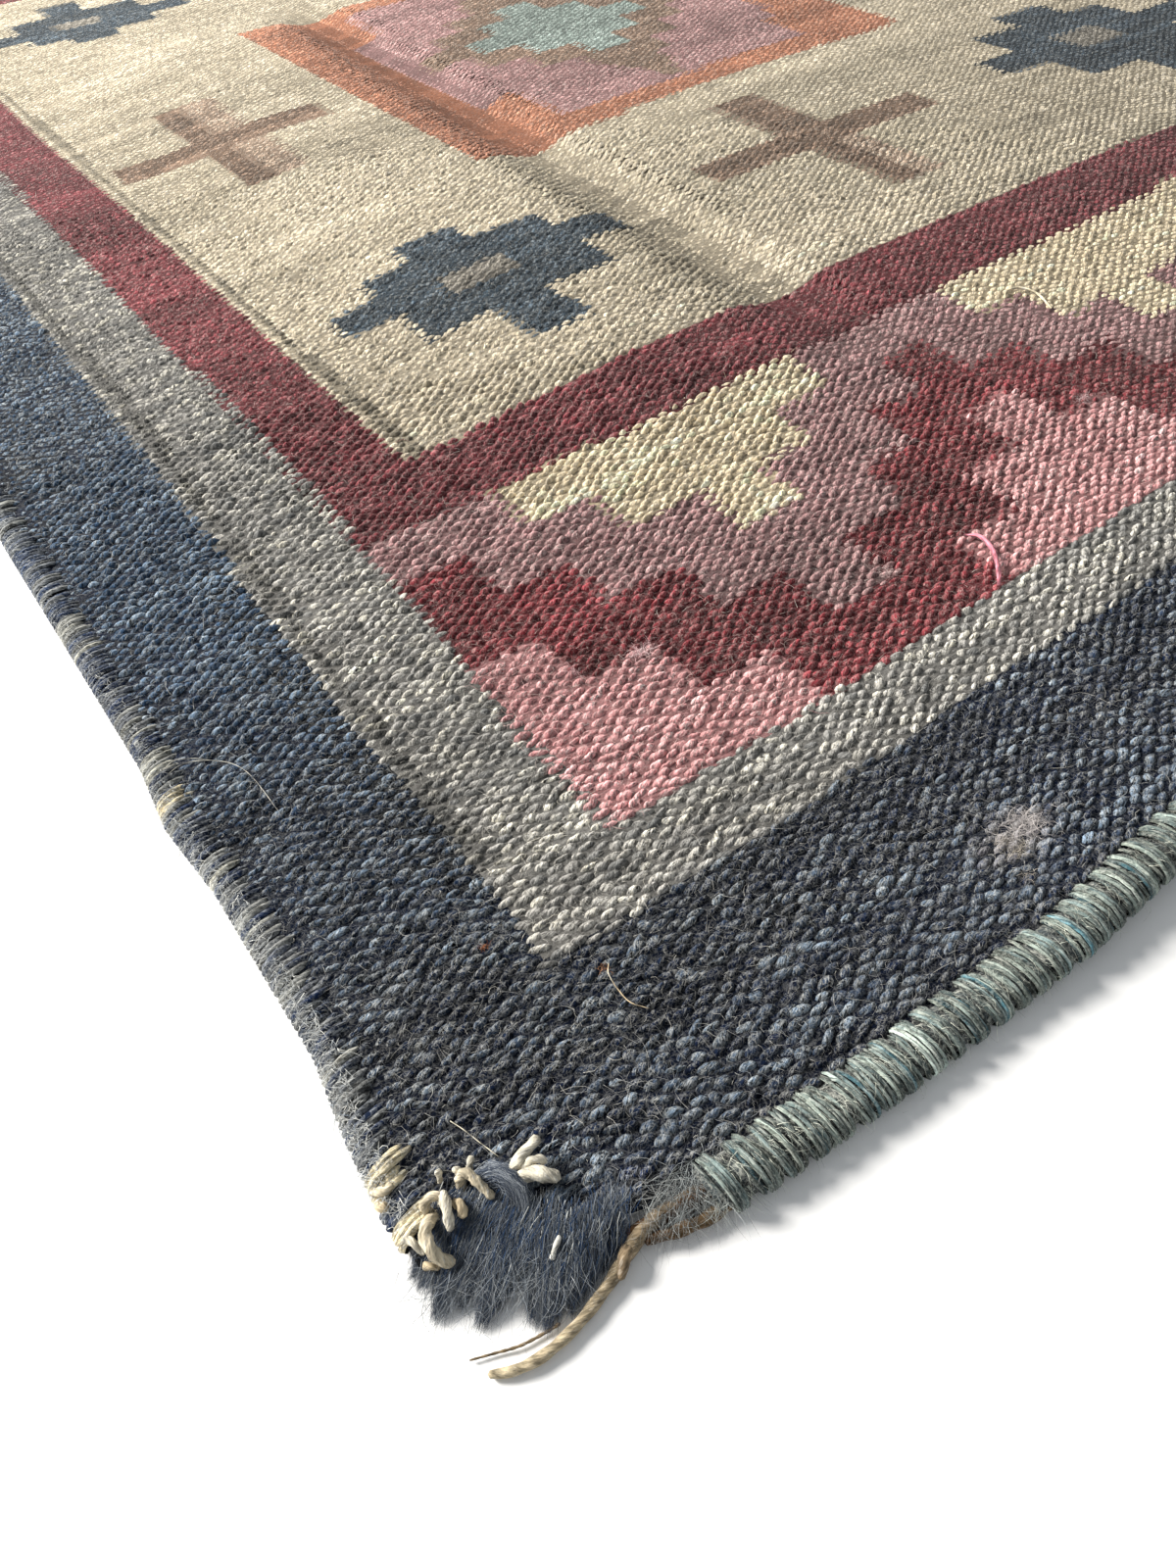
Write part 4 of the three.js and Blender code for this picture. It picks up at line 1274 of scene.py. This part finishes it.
# %% Locks of wool
# tip x, tip y and root x, root y of each lock, from left to right
LOCKS = np.array([
    (-4.9, 29.0, 6.0, 34.0), (-4.6, 26.8, 8.0, 32.4),
    (-4.9, 21.2, 8.6, 31.0), (-4.2, 20.2, 11.0, 29.0), (-1.6, 23.0, 12.0, 28.0),
    (0.2, 19.8, 12.6, 27.4), (0.8, 15.4, 13.6, 25.8), (1.6, 14.6, 14.6, 24.4),
    (5.0, 15.8, 15.8, 23.2), (8.0, 17.2, 17.0, 22.4),
    (8.6, 10.4, 19.4, 20.4), (9.2, 9.0, 20.2, 19.0), (10.2, 7.6, 21.0, 17.6),
    (12.6, 8.0, 21.6, 17.0), (15.2, 7.0, 23.0, 16.6), (17.2, 7.6, 24.6, 16.2), (20.4, 8.6, 26.8, 16.0),
    (24.0, 9.6, 29.6, 16.4), (27.0, 10.8, 32.0, 17.0),
])
LOCK_HIGH = 5.0
# share of pale fibres in the locks
LOCK_PALE = 0.12


def lock_bodies():
    """The dark body under the fibres: for each lock half a flattened tube. From root to tip
    its width falls as 1 - u^1.4 and its height as (1 - u)^0.75."""
    u = np.linspace(0, 1, 8)[:, None]
    t = np.linspace(-1, 1, 5)[None]
    root, tip = LOCKS[:, 2:], LOCKS[:, :2]
    way = tip - root
    size = np.linalg.norm(way, axis=1)[:, None]
    side = np.stack([-way[:, 1], way[:, 0]], -1) / size
    wide = 2.5 * (1 - u ** 1.4) + 0.12
    high = (LOCK_HIGH * (1 - u) ** 0.75 * 0.8 + 0.25) * np.sqrt(1 - 0.97 * t * t)
    middle = root[:, None, None] + way[:, None, None] * (u[..., None] * 1.27 - 0.3)
    place = middle + side[:, None, None] * (t * wide)[None, ..., None]
    z = np.broadcast_to(high + 0.15, place.shape[:-1])
    return place, z, u, t


def wool_locks(name):
    """Bodies as one mesh of the woolly finish."""
    place, z, u, t = lock_bodies()
    count, rows, columns = z.shape
    points = in_metres(place[..., 0], place[..., 1], z).reshape(-1, 3)
    # painted shade: the bodies are dark for the shade deep among the fibres
    tint = np.tile(np.append(linear((26, 31, 42)), 0.5), (count * rows * columns, 1))
    length = np.broadcast_to(u * 16, (count, rows, columns))
    across = np.broadcast_to(t * 2, (count, rows, columns))
    seed = np.broadcast_to(np.arange(count)[:, None, None] * 0.37, (count, rows, columns))
    yarn = np.stack([length, across, seed], -1).reshape(-1, 3)
    face = grid_faces(rows, columns)
    return piece(name, points, [face_rows(face, count, rows * columns)], tint, yarn,
                 LOOSE_WOOL, "wool_tuft")


# %% A ribbon for each fibre
def ribbons(name, path, width, dye, pale, finish, node):
    """Narrow ribbons that lie face up. path is fibres by steps by 3 in millimetres. Each
    ribbon's half width falls to a fifth at its tip and is laid off level and square to
    the path."""
    way = np.gradient(path, axis=1)
    side = np.stack([-way[..., 1], way[..., 0], 0 * way[..., 0]], -1)
    side /= np.maximum(np.linalg.norm(side, axis=-1, keepdims=True), 1e-6)
    fibres, steps = path.shape[:2]
    fall = np.linspace(1, 0.2, steps)[None, :, None]
    half = side * width[:, None, None] * 0.5 * fall
    edges = np.stack([path - half, path + half], axis=2)
    points = in_metres(edges[..., 0], edges[..., 1], np.maximum(edges[..., 2], 0.05)).reshape(-1, 3)
    stride = steps * 2
    tint = np.concatenate([dye, np.broadcast_to(pale, (fibres, 1))], axis=1)
    length = np.broadcast_to(np.linspace(0, 8, steps)[None, :, None], (fibres, steps, 2))
    seed = np.broadcast_to(np.random.default_rng(3).random((fibres, 1, 1)), (fibres, steps, 2))
    yarn = np.stack([length, 0 * length, seed], -1).reshape(-1, 3)
    faces = face_rows(grid_faces(steps, 2), fibres, stride)
    return piece(name, points, [faces], np.repeat(tint, stride, axis=0), yarn, finish, node)


def lock_fibres(name, per_lock, steps=6):
    """Fibres that run from each lock's root to its tip, spread over its width at the root
    and drawn together at the tip, each with a bow of its own, on the body's height."""
    pick = np.random.default_rng(61)
    lock = np.repeat(np.arange(len(LOCKS)), per_lock)
    count = len(lock)
    root = LOCKS[lock, 2:] + pick.standard_normal((count, 2)) * 1.3
    astray = np.where(pick.random((count, 1)) < 0.06, 1.3, 0.4)
    tip = LOCKS[lock, :2] + pick.standard_normal((count, 2)) * astray
    way = tip - root
    side = np.stack([-way[:, 1], way[:, 0]], -1) / np.linalg.norm(way, axis=1)[:, None]
    u = np.linspace(0, 1, steps)[None, :, None]
    start = pick.random((count, 1, 1)) * 0.7 - 0.32
    u = start + (1 - start) * u * (0.82 + 0.25 * pick.random((count, 1, 1)))
    bow = pick.standard_normal((count, 1, 1)) * 1.1
    wave = pick.standard_normal((count, 1, 1)) * 0.45 * np.sin(u * 9 + pick.random((count, 1, 1)) * 6)
    place = root[:, None] + way[:, None] * u + side[:, None] * (bow * np.sin(np.pi * np.clip(u, 0, 1)) + wave)
    rest = np.clip(1 - u[..., 0], 0, 1)
    z = LOCK_HIGH * rest ** 0.75 * (0.72 + 0.42 * pick.random((count, 1))) + 0.35
    z = z + 0.5 * pick.random((count, 1))
    path = np.concatenate([place, z[..., None]], axis=-1)
    lock_shade = np.tile([0.2, 0.75, 0.1, 0.9, 0.4], 5)[:len(LOCKS), None][lock]
    shade = 0.55 * pick.random((count, 1)) + 0.45 * lock_shade
    dye = blended((26, 34, 46), (148, 154, 160), shade ** 2.0)
    deep = pick.random((count, 1)) < 0.27
    dye = np.where(deep, linear((36, 58, 88)), dye)
    dye = np.where(pick.random((count, 1)) < 0.03, linear((196, 198, 194)), dye)
    width = 0.05 + 0.08 * pick.random(count)
    return ribbons(name, path, width, dye, LOCK_PALE, LOOSE_WOOL, "wool_tuft")


wool_locks("tuft_locks")
lock_fibres("tuft_fibres", 380)

# %% The lock that curls over the top
TOP_LOCK = [(13.4, 35.6, 5.4), (15.8, 34.8, 7.2), (17.8, 32.8, 7.8), (18.8, 29.6, 7.4),
            (18.4, 26.4, 6.2), (16.8, 23.4, 4.6)]


def curled_lock(name, count, steps=9):
    """Fibres that keep to one bent line, each shifted off it by its own share of the lock's
    width, which at u goes as the root of sin(pi (0.12 + 0.76 u)): widest in the middle."""
    pick = np.random.default_rng(67)
    line = eased_path(TOP_LOCK, steps)
    way = np.gradient(line, axis=0)
    side = np.stack([-way[:, 1], way[:, 0]], -1)
    side /= np.linalg.norm(side, axis=1, keepdims=True)
    u = np.linspace(0, 1, steps)
    swell = (np.sin(np.pi * (0.12 + 0.76 * u)) ** 0.5)[None]
    place = np.clip(pick.standard_normal((count, 1)) * 0.5, -1.1, 1.1)
    shift = place * swell * 2.2 + 0.3 * pick.standard_normal((count, steps))
    path = np.empty((count, steps, 3))
    path[..., :2] = line[None, :, :2] + side[None] * shift[..., None]
    path[..., 2] = line[None, :, 2] - 1.5 * place ** 2 + 0.25 * pick.random((count, 1))
    slide = pick.standard_normal((count, 1, 1)) * 0.5
    path[..., :2] += way[None, :, :2] / np.linalg.norm(way, axis=1)[None, :, None] * slide
    shade = pick.random((count, 1))
    dye = blended((44, 56, 76), (172, 178, 184), shade ** 1.8)
    width = 0.06 + 0.08 * pick.random(count)
    return ribbons(name, path, width, dye, LOCK_PALE, LOOSE_WOOL, "wool_tuft")


curled_lock("tuft_curl", 420)

# %% [markdown]
# ## Loose hairs
# Hand-spun wool is hairy. Fine pale fibres stand off the stitches, the edge and the
# binding, and they help it to read as wool from close by. Each is a ribbon about a
# tenth of a millimetre wide that leaves the cloth, arches over and comes back to it.
# They thin out with distance from the camera, and the rest of the rug has none.

# %% Hairs on the weave
def arches(start, heading, length, height, curl, steps, pick):
    """Arched paths: at share u of its length a hair has gone length * u along a heading
    that turns by curl * u, at a height of 4 u (1 - 0.8 u) times its own."""
    count = len(start)
    u = np.linspace(0, 1, steps)[None]
    way = heading[:, None] + curl[:, None] * (u - 0.5)
    step = length[:, None] / (steps - 1)
    x = start[:, :1] + np.cumsum(np.cos(way) * step, axis=1) - np.cos(way[:, :1]) * step
    y = start[:, 1:2] + np.cumsum(np.sin(way) * step, axis=1) - np.sin(way[:, :1]) * step
    z = start[:, 2:3] + height[:, None] * 4 * u * (1 - 0.8 * u)
    z = z + 0.08 * pick.standard_normal((count, steps))
    return np.stack([x, y, z], -1)


HAIR_ROOT = GROUND_TOP + 0.75
HAIR_PALE = (214, 210, 200)


def cloth_hairs(name, count, nearness, width):
    """Hairs rooted on randomly drawn stitches, chosen more often the nearer they are: a
    stitch's chance is exp(-distance / nearness)."""
    pick = np.random.default_rng(71)
    chance = np.exp(-away / nearness) * seen * kept
    chosen = pick.choice(len(away), count, p=chance / chance.sum())
    x = centre_x[chosen] + 2.4 * pick.standard_normal(count)
    y = centre_y[chosen] + 1.2 * pick.standard_normal(count)
    start = np.stack([x, y, lift_at(x, y) + HAIR_ROOT], -1)
    heading = pick.random(count) * 2 * np.pi
    length = np.clip(pick.gamma(3.0, 0.9, count), 0.8, 8)
    height = 0.16 + 0.13 * pick.gamma(2.0, 1.0, count)
    curl = 1.7 * pick.standard_normal(count)
    path = arches(start, heading, length, height, curl, 4, pick)
    path[..., 2] = lift_at(path[..., 0], path[..., 1]) + path[..., 2] - lift_at(x, y)[:, None]
    paler = 0.05 + 0.75 * pick.random((count, 1)) ** 1.6
    dye = toward(stitch_dye.reshape(-1, 3)[chosen], HAIR_PALE, paler)
    wide = width * (0.7 + 0.6 * pick.random(count)) * np.clip(away[chosen] / 300, 0.8, 2.2)
    return ribbons(name, path, wide, dye, 0.2, HAIR, "rug_cloth")


cloth_hairs("weave_hairs", 14500, 120.0, 0.085)


# %% Hairs on the binding and the selvedge
def binding_hairs(name, count):
    """Hairs that leave the turns anywhere round their upper side, at x drawn from an
    exponential fall away from the worn end, and arch along and across the binding."""
    pick = np.random.default_rng(83)
    x = 50 + np.minimum(pick.exponential(150.0, count), 780 * pick.random(count) + 15)
    inner = 0.8 + 9.5 * pick.random(count)
    high = np.interp(inner, [0.8, 2, 4, 6.4, 8.8, 10.9], [3.6, 5.2, 6.6, 7.0, 6.6, 5.6])
    y = near_end(x) + inner
    start = np.stack([x, y, lift_at(x, y) + high], -1)
    heading = -math.pi / 2 + 0.1 + 0.5 * pick.standard_normal(count)
    length = np.clip(pick.gamma(3.0, 0.9, count), 0.8, 7)
    height = 0.1 + 0.14 * pick.gamma(2.0, 1.0, count)
    path = arches(start, heading, length, height, 0.7 * pick.standard_normal(count), 4, pick)
    fall = np.maximum(start[:, 1:2] - near_end(x)[:, None] - 3.0, 0)
    gone = np.maximum(start[:, 1:2] - path[..., 1], 0)
    path[..., 2] -= 0.9 * np.maximum(gone - fall, 0)
    path[..., 1] = np.maximum(path[..., 1], near_end(path[..., 0]) - 1.5)
    path[..., 2] = np.maximum(path[..., 2], 0.4)
    dye = blended((120, 132, 126), (222, 224, 208), pick.random((count, 1)) ** 0.8)
    width = 0.05 + 0.05 * pick.random(count)
    return ribbons(name, path, width, dye, 0.3, HAIR, "end_binding_near")


def selvedge_hairs(name, count):
    """Short hairs along the left selvedge, denser towards the worn corner."""
    pick = np.random.default_rng(89)
    y = 38 + np.minimum(pick.exponential(190.0, count), 520 * pick.random(count) + 10)
    inner = 5.5 * pick.random(count) - 0.2
    x = inner + np.interp(y, SELVEDGES[:, 0], SELVEDGES[:, 1])
    start = np.stack([x, y, lift_at(x, y) + np.interp(inner, [0, 1, 3, 5.5], [3.2, 4.4, 5.4, 5.0])], -1)
    heading = math.pi + 0.3 + 1.0 * pick.standard_normal(count)
    length = np.clip(pick.gamma(2.5, 0.9, count), 0.6, 6)
    height = 0.1 + 0.16 * pick.gamma(2.0, 1.0, count)
    path = arches(start, heading, length, height, 1.8 * pick.standard_normal(count), 4, pick)
    outside = np.interp(path[..., 1], SELVEDGES[:, 0], SELVEDGES[:, 1]) - path[..., 0]
    path[..., 0] += np.maximum(outside - 1.5, 0)
    path[..., 2] = np.maximum(path[..., 2] - 1.2 * np.maximum(outside, 0), 0.3)
    dye = blended((96, 108, 122), (220, 220, 214), pick.random((count, 1)) ** 0.8)
    return ribbons(name, path, 0.08 + 0.07 * pick.random(count), dye, 0.3, HAIR, "rug_cloth")


binding_hairs("binding_hairs", 1300)
selvedge_hairs("selvedge_hairs", 2600)

# %% Frayed turns and nubs of fluff
# x, y, half length, half width, darkest and palest fibre, how many fibres
NUBS = (
    (158, 28.5, 5.5, 3.6, (122, 116, 116), (232, 224, 220), 190),
    (150, 28.5, 2.4, 1.6, (112, 106, 100), (196, 186, 174), 50),
    (151, 24.5, 3.2, 1.6, (112, 106, 100), (206, 196, 180), 60),
    (147, 19.0, 2.0, 1.4, (112, 106, 100), (190, 180, 168), 30),
    (317, 135.5, 3.0, 1.8, (176, 128, 132), (236, 214, 212), 70),
    (201, 113.0, 2.4, 1.6, (170, 130, 130), (226, 204, 200), 50),
    (126, 131.0, 4.0, 1.4, (196, 140, 146), (240, 220, 218), 80),
    (107, 136.0, 1.4, 4.0, (180, 110, 118), (226, 196, 198), 50),
    (42, 78, 1.4, 0.8, (96, 52, 26), (170, 100, 56), 22),
    (60, 57.5, 1.5, 1.0, (140, 90, 60), (206, 150, 108), 16),
)


def tuft_top(x, y):
    """Height of the fan of wool at a place: it falls evenly from 5.6 at the worn edge to
    1.2 along its tips, 17 mm further out along the fan's middle line."""
    out = (20.0 - x) * 0.62 + (24.0 - y) * 0.78
    return 5.6 - 4.4 * np.clip(out / 17.0, 0, 1)


def frayed(name, node, spots, seed, base, heading=None, curly=2.2, reach=1.0):
    """Curly fibres in an oval about each spot: starts drawn from a round normal spread,
    headings from all round (or from one way), heights up to a few tenths of the oval,
    above base, or above the fan of wool where base is nought."""
    pick = np.random.default_rng(seed)
    starts, headings, lengths, heights, dyes = [], [], [], [], []
    for x, y, long, wide, dark, light, count in spots:
        place = np.array([x, y]) + pick.standard_normal((count, 2)) * np.array([long, wide]) * 0.5
        z = lift_at(place[:, 0], place[:, 1]) + (base or tuft_top(place[:, 0], place[:, 1]))
        starts.append(np.column_stack([place, z]))
        if heading is None:
            headings.append(pick.random(count) * 2 * np.pi)
        else:
            headings.append(heading + 0.7 * pick.standard_normal(count))
        lengths.append(np.minimum(long, 6) * (0.5 + 0.9 * pick.random(count)) * reach)
        heights.append(0.3 + 0.22 * min(wide, 5) * pick.random(count))
        dyes.append(blended(dark, light, pick.random((count, 1))))
    start, way, length, height, dye = (
        np.concatenate(part) for part in (starts, headings, lengths, heights, dyes))
    curl = curly * pick.standard_normal(len(start))
    path = arches(start, way, length, height, curl, 6, pick)
    path[..., 2] = np.maximum(path[..., 2], 0.4)
    width = 0.05 + 0.06 * pick.random(len(start))
    return ribbons(name, path, width, dye, 0.3, HAIR, node)


frayed("wool_nubs", "rug_cloth", NUBS, 97, HAIR_ROOT)
# rows as in NUBS
FRAYED_TURNS = (
    (47.0, 11.5, 7.0, 4.5, (42, 50, 54), (178, 184, 184), 200),
    (40.0, 13.5, 6.0, 3.0, (32, 38, 42), (158, 160, 158), 110),
    (50.5, 7.0, 4.0, 3.0, (56, 66, 68), (190, 194, 186), 90),
)
frayed("frayed_turns", "end_binding_near", FRAYED_TURNS, 101, 3.6,
       heading=-2.1, curly=1.3, reach=1.5)
# rows as in NUBS
TUFT_FELT = (
    (1.0, 24.0, 7.0, 6.0, (36, 44, 56), (140, 146, 152), 120),
    (7.0, 21.0, 7.0, 6.0, (36, 44, 56), (146, 150, 154), 120),
    (13.0, 19.5, 7.0, 6.0, (36, 46, 60), (140, 148, 156), 120),
    (17.0, 14.5, 6.5, 5.0, (44, 54, 70), (172, 176, 178), 140),
    (21.0, 18.0, 5.0, 4.0, (30, 38, 50), (110, 118, 128), 120),
)
frayed("tuft_felt", "wool_tuft", TUFT_FELT, 103, 0.0,
       heading=-2.5, curly=1.5, reach=1.2)

# %% Loose yarn ends on the weave
LOOSE_YARNS = [
    ([(231.5, 111, 3.6), (232.4, 106, 5.4), (229.6, 99, 5.6), (223.6, 92, 5.4), (220.4, 89, 4.6)],
     (0.5, 0.75, 0.8, 0.75, 0.45), (206, 124, 138), {"steps": 24, "ring": 8, "turns_per_mm": 0.12}),
    ([(352.5, 199, 3.8), (356, 201, 5.4), (361, 199, 5.6), (362.4, 192, 5.2), (359.5, 183, 4.0)],
     (0.3, 0.5, 0.5, 0.5, 0.3), (226, 214, 182), {"steps": 24, "ring": 8, "turns_per_mm": 0.12}),
    ([(15.6, 48.6, 4.4), (16.8, 45.0, 5.0), (18.0, 40.6, 5.4), (19.2, 36.2, 6.2)],
     (0.1, 0.13, 0.12, 0.09), (214, 206, 184), {"steps": 14, "ring": 5}),
    ([(61.0, 58.0, 4.4), (59.2, 55.2, 5.0), (58.8, 48.4, 4.8), (61.2, 44.4, 4.4)],
     (0.1, 0.15, 0.14, 0.09), (214, 192, 156), {"steps": 16, "ring": 5}),
    ([(1.4, 169.0, 4.6), (9.0, 170.4, 5.8), (17.0, 166.0, 5.4), (21.4, 158.0, 4.8), (22.3, 141.1, 4.4)],
     (0.08, 0.12, 0.11, 0.1, 0.07), (200, 196, 184), {"steps": 24, "ring": 5}),
    ([(2.0, 171.0, 4.4), (7.0, 172.6, 6.0), (12.0, 170.6, 5.8), (16.6, 167.0, 4.6)],
     (0.08, 0.12, 0.11, 0.08), (200, 196, 184), {"steps": 18, "ring": 5}),
]
joined_cords("loose_yarn_ends", LOOSE_YARNS, LOOSE_WOOL, "rug_cloth")

# %% The room's floor
FLOOR_HALF = 4.0
# a hair under nought, so that floor and rug never fall into one plane
FLOOR_LEVEL = -0.0002
floor_mesh = bpy.data.meshes.new("floor")
corners = [(across * FLOOR_HALF, along * FLOOR_HALF, FLOOR_LEVEL)
           for across, along in ((-1, -1), (1, -1), (1, 1), (-1, 1))]
floor_mesh.from_pydata(corners, [], [(0, 1, 2, 3)])
floor = bpy.data.objects.new("floor", floor_mesh)
scene.collection.objects.link(floor)
floor_finish = Finish("pale_floor")
floor_shader = floor_finish.node("ShaderNodeBsdfPrincipled", None, {
    "Base Color": (0.92, 0.92, 0.92, 1), "Roughness": 0.9})
floor_finish.node("ShaderNodeOutputMaterial", None, {0: floor_shader.outputs[0]})
floor_mesh.materials.append(floor_finish.material)
